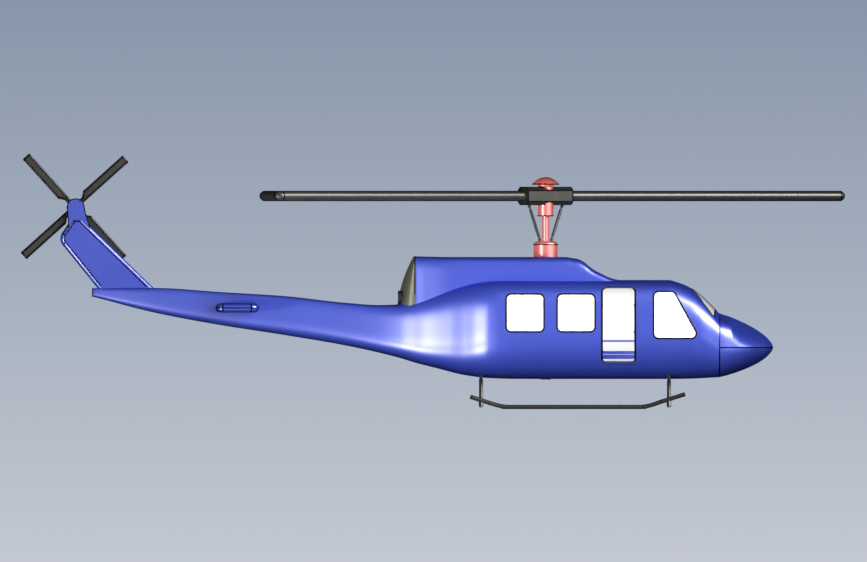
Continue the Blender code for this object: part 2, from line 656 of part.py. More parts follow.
def end_cap(body_clear):
    """The domed cap that closes the cowling's rear, and the two exhausts in it."""
    levels, across = 7, 10
    top = smooth(COWL_TOP, COWL_REAR)
    edge = COWL_REAR - GAP
    rows = []
    for level in range(levels + 1):
        z = top - CAP_TOP_GAP - (top - CAP_TOP_GAP - CAP_LOW) * level / levels
        depth = min((top - z) / CAP_DEEPEST, 1.0)
        bulge = CAP_BULGE * (depth + CAP_BELLIED * depth * (1 - depth)) + CAP_FLAT
        above = max(z - COWL_MIDDLE, 0) / (top - COWL_MIDDLE)
        width = smooth(COWL_WIDTH, COWL_REAR) * max(1 - above**COWL_FULL, 0.0005) ** (1 / COWL_FULL)
        row = [Vector((edge, width, z))]
        for k in range(across + 1):
            angle = math.pi * k / across
            x = edge - CAP_EDGE - bulge * abs(math.sin(angle)) ** CAP_ROUND
            row.append(Vector((x, width * math.cos(angle), z)))
        row.append(Vector((edge, -width, z)))
        rows.append(row)
    cap = loft("cowl_end_cap", rows, FINISH["cap"])
    carve(cap, "DIFFERENCE", body_clear)
    for sign, hand in ((1, "left"), (-1, "right")):
        front, bottom, outlet, past = (
            (x, sign * EXHAUST_SIDE, EXHAUST_HEIGHT)
            for x in (EXHAUST_FRONT, EXHAUST_BOTTOM, EXHAUST_REAR, EXHAUST_REAR - 0.2)
        )
        ahead = (EXHAUST_FRONT + 0.04, *front[1:])
        carve(cap, "DIFFERENCE", rod(f"tool_exhaust_{hand}", ahead, past, EXHAUST_RADIUS + GAP))
        pipe = rod(f"exhaust_{hand}", front, outlet, EXHAUST_RADIUS, FINISH["dark"])
        carve(pipe, "DIFFERENCE", rod(f"tool_exhaust_bore_{hand}", bottom, past, EXHAUST_BORE), body_clear)


def main_rotor():
    turned(
        "mast_housing",
        [
            (HOUSING_RADIUS, HOUSING_HIGH),
            (HOUSING_RADIUS, HOUSING_LOW),
            (HOUSING_BORE, HOUSING_LOW),
            (HOUSING_BORE, HOUSING_HIGH),
        ],
        FINISH["red"],
    )
    low = HOUSING_HIGH + GAP
    turned(
        "swashplate",
        [
            *((radius, SWASH_HIGH - depth) for radius, depth in SWASH_SHOULDERS),
            (HOUSING_RADIUS, low),
            (MAST_RADIUS + GAP, low),
            (MAST_RADIUS + GAP, SWASH_HIGH),
        ],
        FINISH["red"],
    )
    turned(
        "mast",
        [
            (0.0, COLLAR_HIGH),
            (COLLAR_RADIUS, COLLAR_HIGH),
            (COLLAR_RADIUS, COLLAR_LOW),
            (MAST_RADIUS, COLLAR_LOW),
            (MAST_RADIUS, MAST_LOW),
            (0.0, MAST_LOW),
        ],
        FINISH["red"],
    )
    rise = CAP_HIGH - COLLAR_HIGH - GAP
    sphere = (CAP_RADIUS**2 + rise**2) / (2 * rise)
    reach = math.asin(CAP_RADIUS / sphere)
    dome = []
    for k in range(9):
        angle = reach * k / 8
        dome.append((sphere * math.sin(angle), CAP_HIGH - sphere * (1 - math.cos(angle))))
    turned("rotor_cap", dome + [(0.0, COLLAR_HIGH + GAP)], FINISH["red"])
    hub = box(
        "rotor_hub",
        (-HUB_LENGTH / 2, -HUB_WIDTH / 2, HUB_LOW),
        (HUB_LENGTH / 2, HUB_WIDTH / 2, HUB_HIGH),
        FINISH["dark"],
    )
    form = bmesh.new()
    form.from_mesh(hub.data)
    long_edges = [e for e in form.edges if abs(e.verts[0].co.x - e.verts[1].co.x) > HUB_LENGTH / 2]
    bmesh.ops.bevel(form, geom=long_edges, offset=HUB_CHAMFER, segments=1, affect="EDGES")
    form.to_mesh(hub.data)
    form.free()
    hub.data.transform(Matrix.Rotation(HUB_TURN, 4, "Z"))
    carve(hub, "DIFFERENCE", rod("tool_collar", (0, 0, 3.0), (0, 0, 4.0), COLLAR_RADIUS + GAP, sides=32))
    for direction, name in ((1, "forward"), (-1, "aft")):
        blade(f"rotor_blade_{name}", direction)
        out = Matrix.Rotation(HUB_TURN, 4, "Z") @ Vector((direction, 0, 0))
        tilt = math.atan2(LINK_TOP_OUT - LINK_LOW_OUT, HUB_LOW - SWASH_HIGH)
        lift = LINK_RADIUS * math.sin(tilt) + GAP
        foot = out * LINK_LOW_OUT + Vector((0, 0, SWASH_HIGH + lift))
        head = out * LINK_TOP_OUT + Vector((0, 0, HUB_LOW - lift))
        rod(f"pitch_link_{name}", foot, head, LINK_RADIUS, FINISH["dark"], sides=16)


def blade(name, direction):
    """A rotor blade with full round edges and tip, its near edge flared from the root to the tip."""
    root = HUB_LENGTH / 2 + GAP
    half = BLADE_THICK / 2
    past_cuts = [math.sin(math.pi / 2 * k / TIP_STEPS) for k in range(TIP_STEPS + 1)]
    cuts = [root] + BLADE_CUTS + [BLADE_TIP - BLADE_CORNER * (1 - past) for past in past_cuts]
    rings = []
    for r in cuts:
        share = (r - root) / (BLADE_TIP - root)
        near = BLADE_NEAR[0] + (BLADE_NEAR[1] - BLADE_NEAR[0]) * share
        far = BLADE_FAR[0] + (BLADE_FAR[1] - BLADE_FAR[0]) * share
        past = max(r - (BLADE_TIP - BLADE_CORNER), 0) / BLADE_CORNER
        left = math.sqrt(max(1 - past * past, 0.01))
        cut = BLADE_CORNER * (1 - left)
        deep = half * left
        points = []
        for start, middle in ((-0.5, far - cut - deep), (0.5, deep + cut - near)):
            for k in range(9):
                angle = math.pi * (start + k / 8)
                y, z = middle + deep * math.cos(angle), BLADE_MIDDLE + deep * math.sin(angle)
                points.append(Vector((direction * r, y, z)))
        rings.append(points)
    obj = loft(name, rings, FINISH["dark"])
    obj.data.transform(Matrix.Rotation(HUB_TURN, 4, "Z"))


def tail(body_clear):
    fin = round_plate("tail_fin", FIN, FIN_CORNERS, FIN_HALF, upright, FINISH["paint"])
    carve(fin, "DIFFERENCE", body_clear)
    outline = rounded(FAIRING, FAIRING_CORNERS)
    fairing = prism("tail_gearbox_fairing", outline, "Y", -FAIRING_HALF, FAIRING_HALF, FINISH["paint"])
    fin_clear = round_plate("tool_fin_clear", FIN, FIN_CORNERS, FIN_HALF, upright, reach=GAP)
    carve(fairing, "DIFFERENCE", fin_clear)
    middle, half = (STAB_LOW + STAB_HIGH) / 2, (STAB_HIGH - STAB_LOW) / 2
    corners = [(STAB_REAR, 0.01), (STAB_FRONT, 0.01), (STAB_FRONT, STAB_SPAN), (STAB_REAR, STAB_SPAN)]
    for sign, hand in ((1, "left"), (-1, "right")):

        def level(u, v, across):
            return Vector((u, sign * v, middle + across))

        plane = round_plate(f"stabiliser_{hand}", corners, STAB_CORNERS, half, level, FINISH["paint"])
        carve(plane, "DIFFERENCE", body_clear)


def tail_rotor():
    def beside(distance):
        return TAIL_HUB + Vector((0, distance, 0))

    near, far = beside(FAIRING_HALF + GAP), beside(TAIL_SIDE + TAIL_SPINDLE_PAST)
    hub = rod("tail_rotor", near, far, TAIL_SPINDLE, FINISH["dark"])
    near, far = beside(TAIL_SIDE - TAIL_HUB_HALF), beside(TAIL_SIDE + TAIL_HUB_HALF)
    carve(hub, "UNION", rod("tool_tail_disc", near, far, TAIL_HUB_RADIUS))
    for k in range(4):
        turn = Matrix.Rotation(TAIL_TURN + math.pi / 2 * k, 2)

        def place(u, v, across):
            p = turn @ Vector((u, v))
            return Vector((p.x + TAIL_HUB.x, TAIL_SIDE + across, p.y + TAIL_HUB.z))

        half = TAIL_BLADE_THICK / 2
        made = round_plate(f"tool_tail_blade_{k}", TAIL_BLADE, TAIL_BLADE_CORNERS, half, place, steps=2)
        carve(hub, "UNION", made)


def tube(name, path, radius, finish, sides=2):
    """A round tube along a list of points."""
    curve = bpy.data.curves.new(name, "CURVE")
    curve.dimensions = "3D"
    curve.bevel_depth = radius
    curve.bevel_resolution = sides
    curve.use_fill_caps = True
    line = curve.splines.new("POLY")
    line.points.add(len(path) - 1)
    for point, place in zip(line.points, path):
        point.co = (*place, 1)
    guide = bpy.data.objects.new(name + "_guide", curve)
    bpy.context.scene.collection.objects.link(guide)
    evaluated = guide.evaluated_get(bpy.context.evaluated_depsgraph_get())
    mesh = bpy.data.meshes.new_from_object(evaluated)
    bpy.data.objects.remove(guide)
    form = bmesh.new()
    form.from_mesh(mesh)
    bmesh.ops.remove_doubles(form, verts=form.verts, dist=0.00001)
    mesh = mesh_of(form, name)
    obj = put(name, mesh, finish)
    smooth_shade(obj)
    return obj


def landing_gear(body_clear):
    clear = []
    for sign, hand in ((1, "left"), (-1, "right")):
        path = [(x, sign * SKID_SIDE, z) for x, z in SKID_PATH]
        tube(f"skid_{hand}", path, SKID_RADIUS, FINISH["dark"])
        clear.append(tube(f"tool_skid_{hand}", path, SKID_RADIUS + GAP, None))
    for name, x in CROSS_PLACES.items():
        level = smooth(BOTTOM, x) - CROSS_RADIUS - CROSS_BELOW
        foot = GROUND + SKID_RADIUS
        half = [(y, level - depth) for y, depth in CROSS_BEND]
        half += [(CROSS_FOOT[0], foot + CROSS_FOOT[1]), (SKID_SIDE, foot)]
        path = [(x, -y, z) for y, z in half[::-1]] + [(x, y, z) for y, z in half]
        bar = tube(f"cross_tube_{name}", path, CROSS_RADIUS, FINISH["dark"])
        for sign in (1, -1):
            middle = sign * SADDLE_SIDE
            low = (x - SADDLE_HALF_LONG, middle - SADDLE_HALF_WIDE, level)
            high = (x + SADDLE_HALF_LONG, middle + SADDLE_HALF_WIDE, level + SADDLE_TALL)
            saddle = box(f"tool_saddle_{name}_{sign}", low, high)
            carve(saddle, "DIFFERENCE", body_clear)
            carve(bar, "UNION", saddle)
        carve(bar, "DIFFERENCE", *clear)
    low, high = (-PLATE_HALF, -PLATE_HALF, 0), (PLATE_HALF, PLATE_HALF, BELLY - GAP)
    box("cargo_hook_plate", low, high, FINISH["dark"])


def seat(name, x, y, width, depth, height):
    """A cushion with an upright back, in one solid."""
    low = FLOOR_TOP + GAP
    cushion = low + CUSHION_HIGH
    side = [
        (x, low), (x + depth, low), (x + depth, cushion), (x + BACK_FOOT, cushion),
        (x + BACK_HEAD, low + height), (x, low + height),
    ]
    outline = rounded(side, SEAT_CORNERS, 3)
    prism(name, outline, "Y", y - width / 2, y + width / 2, FINISH["seat"])


def interior():
    for name, sizes in SEATS.items():
        seat(name, *sizes)
    panel = box("instrument_panel", (*PANEL_LOW, FLOOR_TOP + GAP), PANEL_HIGH, FINISH["panel"])
    bevel(panel, 0.03, 2)


def main():
    forms = fuselage_tools()
    body_clear = rear_body(FINISH["paint"])
    cabin(forms, FINISH["paint"])
    panes(forms, FINISH["window"])
    doors(forms, FINISH["door"])
    nose(FINISH["paint"])
    cowling(body_clear)
    end_cap(body_clear)
    main_rotor()
    tail(body_clear)
    tail_rotor()
    landing_gear(body_clear)
    interior()


for old in list(bpy.data.objects):
    bpy.data.objects.remove(old, do_unlink=True)
PARTS = collection("helicopter")
TOOLS = collection("cutting_tools")
FINISH = {
    "paint": material("blue_paint", (0.085, 0.125, 0.64), 0.25),
    "door": material("white_paint", (0.9, 0.9, 0.9), 0.3),
    "window": material("white_glazing", (0.95, 0.95, 0.95), 0.1),
    "dark": material("dark_metal", (0.07, 0.07, 0.062), 0.35, 0.6),
    "red": material("red_paint", (0.58, 0.08, 0.06), 0.25),
    "cap": material("beige_metal", (0.3, 0.3, 0.24), 0.4, 0.3),
    "engine": material("engine_metal", (0.25, 0.25, 0.25), 0.5, 0.8),
    "floor": material("floor_covering", (0.12, 0.12, 0.13), 0.8),
    "seat": material("seat_fabric", (0.10, 0.11, 0.14), 0.9),
    "panel": material("black_panel", (0.02, 0.02, 0.02), 0.6),
}
main()
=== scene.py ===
"""Looks of the helicopter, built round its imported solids.

Metres, +X to the nose, +Y to port, +Z up. The curved skins are worked out again from the body's own tables
at a fine step and cut where the solids are cut. They are shaded with the normals of the formula that they
follow, or of a changed one on the cockpit and the nose. Side panels, panes and doors are built on the port
side and mirrored.
"""

import math

import bmesh
import bpy
import numpy as np
from mathutils import Matrix, Vector


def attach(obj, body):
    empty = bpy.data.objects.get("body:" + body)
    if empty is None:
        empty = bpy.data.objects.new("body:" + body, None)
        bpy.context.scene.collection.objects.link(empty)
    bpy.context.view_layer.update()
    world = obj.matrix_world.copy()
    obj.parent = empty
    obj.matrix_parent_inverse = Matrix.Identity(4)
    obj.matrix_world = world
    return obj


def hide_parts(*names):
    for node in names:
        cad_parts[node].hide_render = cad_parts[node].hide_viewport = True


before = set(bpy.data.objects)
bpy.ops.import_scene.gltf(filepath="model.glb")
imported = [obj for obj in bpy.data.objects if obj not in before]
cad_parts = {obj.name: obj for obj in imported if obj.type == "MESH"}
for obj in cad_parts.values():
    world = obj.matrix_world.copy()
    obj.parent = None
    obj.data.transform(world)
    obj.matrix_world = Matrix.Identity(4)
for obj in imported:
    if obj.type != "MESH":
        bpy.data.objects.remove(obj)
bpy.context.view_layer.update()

# Photograph: its size, the pixel at which X and Z are zero, and metres a pixel
PHOTO_WIDTH, PHOTO_HEIGHT = 867, 562
ZERO_COLUMN, ZERO_ROW = 545.6, 379.63
PIXEL = 0.019

GAP = 0.0003
WALL = 0.045
HANDS = ((1, "left"), (-1, "right"))  # the sign of Y on each side

# Body, as in the solids
BOOM_END = -8.610
BOOM_ROOT = -2.765
CABIN_REAR = -0.885
COCKPIT_REAR = 1.880
STRAIGHT = (-0.55, 2.3)  # between these the cabin's section hardly changes
NOSE_SPLIT = 3.304
NOSE_TIP = 4.321
NOSE_LINE = 0.610
BELLY = 0.012
ROOF = 1.893
SIDE_LOW = 0.240
SIDE_HIGH = 1.790
HALF_WIDTH = 1.280
FLOOR_TOP = 0.262

TOP = [
    (-8.61, 1.739), (-7.40, 1.741), (-6.19, 1.665), (-4.97, 1.589), (-3.75, 1.456), (-3.15, 1.418),
    (-2.84, 1.428), (-2.48, 1.510), (-2.10, 1.637), (-1.63, 1.785), (-1.25, 1.863), (-0.87, 1.892),
    (-0.50, ROOF), (2.32, ROOF), (2.55, 1.836), (2.78, 1.731), (3.01, 1.551), (3.304, 1.258),
]
BOTTOM = [
    (-8.61, 1.577), (-7.40, 1.266), (-6.19, 1.038), (-4.97, 0.848), (-3.75, 0.639), (-2.77, 0.411),
    (-2.46, 0.316), (-2.01, 0.202), (-1.55, 0.088), (-1.09, 0.030), (-0.60, 0.014), (0.0, BELLY),
    (2.32, BELLY), (2.74, 0.018), (3.20, 0.040), (3.304, 0.046),
]
WIDTH = [
    (-8.61, 0.095), (-7.40, 0.195), (-6.19, 0.256), (-4.97, 0.322), (-3.75, 0.424), (-3.15, 0.503),
    (-2.77, 0.580), (-2.48, 0.665), (-2.29, 0.725), (-1.82, 0.922), (-1.53, 1.064), (-1.28, 1.178),
    (-1.06, 1.249), (-0.87, 1.274), (-0.60, HALF_WIDTH), (2.45, HALF_WIDTH), (2.93, 1.254), (3.20, 1.208),
    (3.304, 1.190),
]
WIDEST = [
    (-8.61, 1.657), (-7.40, 1.504), (-6.19, 1.351), (-4.97, 1.218), (-3.75, 1.048), (-3.15, 0.962),
    (-2.29, 0.925), (-1.82, 0.981), (-1.25, 1.019), (-0.87, 1.038), (2.17, 1.038), (2.74, 0.962),
    (3.03, 0.810), (3.304, NOSE_LINE),
]
FULL_ABOVE = [
    (-8.61, 4.5), (-7.70, 6.0), (-4.67, 6.8), (-3.75, 6.8), (-3.15, 6.0), (-2.48, 5.0), (-1.82, 4.7),
    (-1.25, 4.5), (2.32, 4.7), (2.74, 4.4), (3.03, 3.4), (3.304, 2.3),
]
FULL_BELOW = [
    (-8.61, 3.0), (-4.67, 3.1), (-3.75, 3.4), (-2.29, 3.8), (-1.82, 3.6), (-1.25, 3.2), (-0.87, 2.9),
    (0.0, 2.6), (3.304, 2.4),
]
# Fullness that shades the upper half of the cockpit and the nose, instead of their meshes' own
SHEEN_FROM = 2.32
SHEEN_ABOVE = [
    (2.32, 4.7), (2.74, 3.9), (3.03, 3.9), (3.304, 4.2), (3.5, 3.65), (3.6, 2.4), (3.66, 2.0), (3.73, 1.65),
    (3.9, 1.4), (4.321, 1.3),
]
# Nose: values against the square root of the distance from the tip, as a share of the nose's length
NOSE_WIDTH = [
    (0.0, 0.0), (0.250, 0.300), (0.497, 0.602), (0.659, 0.855), (0.788, 1.028), (0.876, 1.123),
    (0.957, 1.173), (1.0, 1.190),
]
NOSE_RISE = [
    (0.0, 0.0), (0.237, 0.124), (0.410, 0.238), (0.627, 0.390), (0.785, 0.504), (0.917, 0.599),
    (1.0, 0.648),
]
NOSE_DROP = [
    (0.0, 0.0), (0.237, 0.112), (0.410, 0.219), (0.627, 0.352), (0.785, 0.447), (0.917, 0.523),
    (1.0, 0.564),
]
# Fullness of the nose at its split, and what it loses to the tip
NOSE_FULL_ABOVE, NOSE_LOSS_ABOVE = 2.3, 0.2
NOSE_FULL_BELOW, NOSE_LOSS_BELOW = 2.4, 0.3

# Windows and doors, as corners on the side view
WINDOW_LOW, WINDOW_HIGH = 0.908, 1.627
WINDOWS = {"rear": (-0.750, -0.030), "middle": (0.220, 0.940)}
CORNER = 0.095
DOOR_REAR, DOOR_FRONT = 1.068, 1.706
DOOR_LOW, DOOR_HIGH = 0.306, 1.756
DOOR_GAP = 0.012
DOOR_SKIN = 0.018
DOOR_STEP = 0.018
COCKPIT_WINDOW = [(2.052, 0.781), (2.928, 0.781), (2.442, 1.676), (2.052, 1.676)]
# The windscreen's corners are X and Y in plan
WINDSCREEN = [(2.790, 0.045), (3.235, 0.045), (3.205, 0.990), (3.000, 0.980), (2.790, 0.720)]
WINDSCREEN_CORNERS = [0.06, 0.06, 0.06, 0.0, 0.06]
PANE_DEPTH, PANE_THICK, PANE_GAP = 0.004, 0.012, 0.001
PANE_PAST = 0.1  # how far a pane starts out beyond its window
COCKPIT_PANE, WINDSCREEN_PANE = (1.95, 3.05), (2.7, 3.3035)  # the X at which these panes start out
SIDE_BAND, TOP_BAND = (0.6, 1.6), (0.9, 2.2)  # reach of the cutters through a side, in Y, and the roof, in Z
SIDE_ANGLES = (-1.15, 1.25)  # lowest and highest direction on a piece of the side
DOOR_BLANK = (0.95, 1.85)  # the X at which a door starts out
DOOR_LAP = 0.0005  # overlap of the door's two layers before they are joined
HINGE_RADIUS, HINGE_OUT, HINGE_HALF = 0.008, 0.010, 0.030
HINGE_HEIGHTS = (0.89, 1.40)
STRAP_NEAR, STRAP_FAR = 0.011, 0.026  # X from the hinge's axis
STRAP_IN, STRAP_OUT = 0.020, 0.004  # Y inside and outside the body's half width
WEB_FAR, WEB_LOW, WEB_HIGH = 0.022, 0.001, 0.006  # X from the axis, and two Y outside the half width
HINGE_SCREW, HINGE_SCREW_RADIUS = 0.018, 0.005

# Cowling
COWL_REAR, COWL_FRONT = -2.481, 1.445
COWL_STRAIGHT = (-1.78, 0.39)  # between these its top is level
COWL_WALL = 0.020
COWL_MIDDLE = 1.703
COWL_TOP = [
    (-2.481, 2.343), (-1.780, 2.330), (0.390, 2.330), (0.500, 2.311), (0.616, 2.292), (0.730, 2.235),
    (0.844, 2.140), (0.958, 2.064), (1.072, 2.007), (1.186, 1.950), (1.300, 1.912), (1.445, 1.885),
]
COWL_WIDTH = [
    (-2.481, 0.574), (-2.290, 0.615), (-1.816, 0.690), (-1.284, 0.722), (-0.866, 0.741), (0.084, 0.779),
    (1.034, 0.798), (1.445, 0.798),
]
COWL_FULL = 8.0
COWL_SUNK, COWL_SIDE_STEPS = 0.012, 6  # how far its sides run into the roof, and their points
CAP_BULGE, CAP_LOW, CAP_DEEPEST = 0.304, 1.350, 0.925
CAP_UNDER, CAP_RIM, CAP_LIFT = 0.004, 0.01, 0.012
CAP_CUT_FRONT, CAP_CUT_REAR = 0.04, 0.2  # how far past the exhausts' ends the cutters reach
CAP_BELLY, CAP_ROUND = 0.65, 0.9  # how early the bulge fills out, and how round it is across
EXHAUST_SIDE, EXHAUST_HEIGHT = 0.270, 1.560
EXHAUST_RADIUS, EXHAUST_BORE = 0.128, 0.112
EXHAUST_FRONT, EXHAUST_BOTTOM, EXHAUST_REAR = -2.490, -2.600, -2.806
EXHAUST_LIP, EXHAUST_LIP_EDGE = 0.006, 0.004
EXHAUST_STEPS = [(0.0, 0.07), (0.012, 0.06), (0.012, 0.04), (0.03, 0.03), (0.03, 0.0)]  # in from bore, up
EXHAUST_CONE, EXHAUST_CONE_HIGH = 0.03, 0.05

# Main rotor
HOUSING_LOW, HOUSING_HIGH = 2.3305, 2.569
HOUSING_RADIUS, HOUSING_BORE = 0.228, 0.075
SWASH_HIGH = 2.626
SWASH_SHOULDER = [(0.222, 0.034), (0.200, 0.012), (0.168, 0.0)]  # radius, and distance below the top
MAST_RADIUS, MAST_LOW = 0.0646, 2.380
COLLAR_RADIUS, COLLAR_LOW, COLLAR_HIGH = 0.147, 3.109, 3.707
CAP_RADIUS, CAP_HIGH = 0.2565, 3.848
HUB_LOW, HUB_HIGH = 3.328, 3.651
HUB_LENGTH, HUB_WIDTH, HUB_CHAMFER = 1.045, 0.327, 0.057
HUB_TURN = math.radians(36)
BLADE_MIDDLE, BLADE_THICK = 3.489, 0.177
BLADE_TIP = 6.684
BLADE_FAR, BLADE_NEAR = (0.099, 0.141), (0.099, 0.580)
BLADE_INSIDE = 0.12  # how far a blade starts out inside the hub, before it is cut off there
HUB_BOLTS_OUT, HUB_BOLTS_ACROSS = (0.36, 0.46), (-0.07, 0.07)
LINK_RADIUS = 0.0285
LINK_END = [  # share of the radius, and distance from the end
    (0, 0), (1, 0), (1, 0.050), (0.55, 0.056), (0.55, 0.080), (0.85, 0.082), (0.85, 0.100), (1, 0.104),
]
LINK_TOP_OUT, LINK_LOW_OUT = 0.391, 0.130

# Tail
TAIL_HUB = Vector((-8.949, 0.0, 3.274))
TAIL_TURN = math.radians(42)
TAIL_SIDE = 0.330
TAIL_RADIUS, TAIL_HUB_RADIUS, TAIL_HUB_HALF = 1.340, 0.150, 0.045
TAIL_SPINDLE, TAIL_SPINDLE_PAST = 0.075, 0.080
TAIL_BOLTS_OUT = (0.095, 0.125)
TAIL_BLADE_THICK = 0.060
TAIL_BLADE = [
    (0.080, -0.049), (TAIL_RADIUS, -0.049), (TAIL_RADIUS, 0.124), (0.330, 0.124), (0.230, 0.049),
    (0.080, 0.049),
]
TAIL_BLADE_CORNERS = [0, 0.015, 0.015, 0.04, 0.04, 0]
FIN_HALF = 0.078
FIN_CORNERS = [0, 0.10, 0.10, 0.195, 0]
FAIRING_HALF, FAIRING_EDGE, FAIRING_LINE_LOW = 0.070, 0.008, 2.86
FIN = [(-7.321, 1.620), (-8.829, 3.084), (-8.988, 3.084), (-9.267, 2.671), (-8.419, 1.620)]
FAIRING = [(-8.628, 2.800), (-8.744, 3.152), (-8.800, 3.433), (-9.092, 3.433), (-9.055, 2.835)]
FAIRING_CORNERS = [0, 0.10, 0.140, 0.140, 0]
STAB_REAR, STAB_FRONT = -6.260, -5.461
STAB_LOW, STAB_HIGH, STAB_ROOT, STAB_SPAN = 1.287, 1.437, 0.010, 1.430
STAB_SHOWN = 0.25  # outboard of this Y its edges carry lines

# Landing gear
SKID_SIDE, SKID_RADIUS = 1.320, 0.041
SKID_PATH = [
    (-1.429, -0.325), (-1.074, -0.440), (-0.960, -0.474), (-0.860, -0.500), (-0.762, -0.514),
    (-0.640, -0.519), (1.720, -0.519), (1.841, -0.514), (1.940, -0.500), (2.060, -0.467),
    (2.193, -0.420), (2.649, -0.277),
]
CROSS_RADIUS = 0.038
CROSS_PLACES = {"rear": -1.227, "front": 2.343}
CROSS_BEND = [(0.90, 0.0), (1.02, 0.020), (1.11, 0.080), (1.17, 0.170)]  # Y, and drop below the middle
CROSS_KNEE, CROSS_KNEE_RISE, CROSS_CLEAR = 1.30, 0.06, 0.006
SADDLE_SIDE, SADDLE_LONG, SADDLE_WIDE, SADDLE_RISE = 0.620, 0.030, 0.04, 0.10
SOCKET_RISE, SOCKET_LONG, SOCKET_LEAN = 0.030, 0.085, 0.30
RING_HALF, RING_OUT, RING_IN = 0.006, 0.0015, 0.006
GROUND = -0.560

# Seats: X of the back, Y of the middle, width, depth and height
SEATS = {
    "seat_left": (2.02, 0.46, 0.50, 0.50, 1.05),
    "seat_right": (2.02, -0.46, 0.50, 0.50, 1.05),
    "bench_seat": (-0.82, 0.0, 1.60, 0.50, 0.95),
}
SEAT_FRAME_HIGH, SEAT_LOW, SEAT_HIGH = 0.24, 0.23, 0.38
SEAT_FRAME_REAR, SEAT_FRAME_FRONT, SEAT_FRAME_SIDE = 0.02, 0.04, 0.03  # how far in the frame stands
BACK_LOW, BACK_THICK, BACK_LAP = 0.30, 0.12, 0.10
CUSHION_CROWN, CUSHION_CUTS, CUSHION_SQUARE, CUSHION_FLANK = 0.02, 11, 8, 0.7

# Dials on the instrument panel
DIAL_X, DIAL_Y, DIAL_Z = 2.8595, -0.44, 0.60
DIAL_ACROSS, DIAL_UP = 0.22, 0.19
DIAL = [(0.0, 0.0), (0.062, 0.0), (0.062, 0.008), (0.054, 0.012), (0.050, 0.006), (0.0, 0.006)]

# Fineness of the visible surfaces
ROUND = 128  # points round the body
ARC = 10  # steps in a rounded corner
EDGE_STEPS = 8  # steps in a plate's round edge
PAINT, LINING, EDGE = 0, 1, 2  # finishes on a skin: outside, inside, cut edge

# Lamps: azimuth from starboard abeam toward the nose, elevation, watts. Soft ones light colours, and hard
# ones are seen in gloss.
SOFT_SIZE, SOFT_FAR = 8.0, 20.0
SOFT_LAMPS = {
    "starboard_fill": (0, 0, 4400),
    "port_front_fill": (140, 8, 3000),
    "port_rear_fill": (-140, 8, 3000),
}
HARD_SIZE, HARD_FAR = 6.0, 60.0
HARD_LAMPS = {
    "aft_key": (-41, -5, 17000),
    "aft_low_key": (-40, -25, 18000),
    "high_key": (42, 38, 18000),
    "nose_key": (38, 20, 21000),
    "nose_wide_key": (56, 24, 28000),
    "nose_far_key": (74, 26, 42000),
}
LAMP_MIDDLE = Vector((-1.0, 0.0, 1.3))
ROOM = 0.01  # brightness all round

# Stage: the camera's distance, the floor and backdrop, and the backdrop's colours from low to high
CAMERA_FAR, CAMERA_SEES = 30, 300
STAGE_RADIUS, STAGE_LOW, STAGE_HIGH = 60, -30, 60
SKY_LOW, SKY_HIGH = -3.46, 7.21
SKY_COLORS = [(195, 200, 210), (165, 175, 190), (136, 150, 170)]

# Black seals, joints and edge lines
SEAL_WIDTH, SEAL_RISE = 0.032, 0.004
JOINT_WIDTH, JOINT_RISE = 0.026, 0.002
LINE_WIDTH, LINE_RISE = 0.022, 0.003
END_LINE_IN = 0.005
FRAME_SEAL_OUT, FRAME_SEAL_WIDTH, FRAME_SEAL_RISE = 0.006, 0.018, 0.003
DOOR_SEAL_WIDTH, DOOR_SEAL_RISE, DOOR_SEAL_CORNER = 0.018, 0.004, CORNER - 0.005
CAP_LINE_RISE, FAIRING_LINE_RISE = 0.006, 0.008
MAST_LINE, HUB_LINE, HUB_LINE_IN = 0.011, 0.013, 0.998  # two radii, and a share of the hub's length
BEAD_SINK = 0.003
STAB_CORNER, BLADE_TIP_CORNER = 0.130, 0.130
STAB_LINE, BLADE_LINE = 0.022, 0.022
SKID_RINGS = (-1.405, -1.074, -0.762, 1.841, 2.193)

# Stripes on the doors: low, high and display colour, or None for the band that fades to the front
STRIPE_EDGE = 0.002
STRIPE_REAR, STRIPE_FRONT = (62, 76, 190), (90, 102, 205)
STRIPE_FADE_REAR, STRIPE_FADE_FRONT = 0.05, 0.03

# Coat of the paints: roughness, and how its weight falls where the skin is seen edge on
COAT_ROUGHNESS, COAT_FULL, COAT_FALLEN, COAT_LEFT = 0.35, 0.2, 0.6, 0.05
STRIPES = [
    (0.715, 0.753, (92, 106, 208)), (0.392, 0.544, None), (0.474, 0.484, (205, 208, 245)),
    (0.316, 0.354, (92, 106, 208)), (0.300, 0.312, (96, 98, 104)),
]


class Curve:
    """A smooth curve through a table's points, with no overshoot between them."""

    def __init__(self, table):
        self.xs = np.array([row[0] for row in table], float)
        self.ys = np.array([row[1] for row in table], float)
        self.steps = np.diff(self.xs)
        slopes = np.diff(self.ys) / self.steps
        self.tangents = np.zeros(len(self.xs))
        self.tangents[0], self.tangents[-1] = slopes[0], slopes[-1]
        for i in range(1, len(self.xs) - 1):
            before, after = slopes[i - 1], slopes[i]
            if before * after > 0:
                weight_a = 2 * self.steps[i] + self.steps[i - 1]
                weight_b = self.steps[i] + 2 * self.steps[i - 1]
                self.tangents[i] = (weight_a + weight_b) / (weight_a / before + weight_b / after)

    def __call__(self, places):
        places = np.clip(places, self.xs[0], self.xs[-1])
        i = np.clip(np.searchsorted(self.xs, places) - 1, 0, len(self.steps) - 1)
        step = self.steps[i]
        t = (places - self.xs[i]) / step
        low, high = self.ys[i], self.ys[i + 1]
        value = low * (1 + 2 * t) * (1 - t) ** 2 + high * t * t * (3 - 2 * t)
        return value + step * t * (1 - t) * (self.tangents[i] * (1 - t) - self.tangents[i + 1] * t)


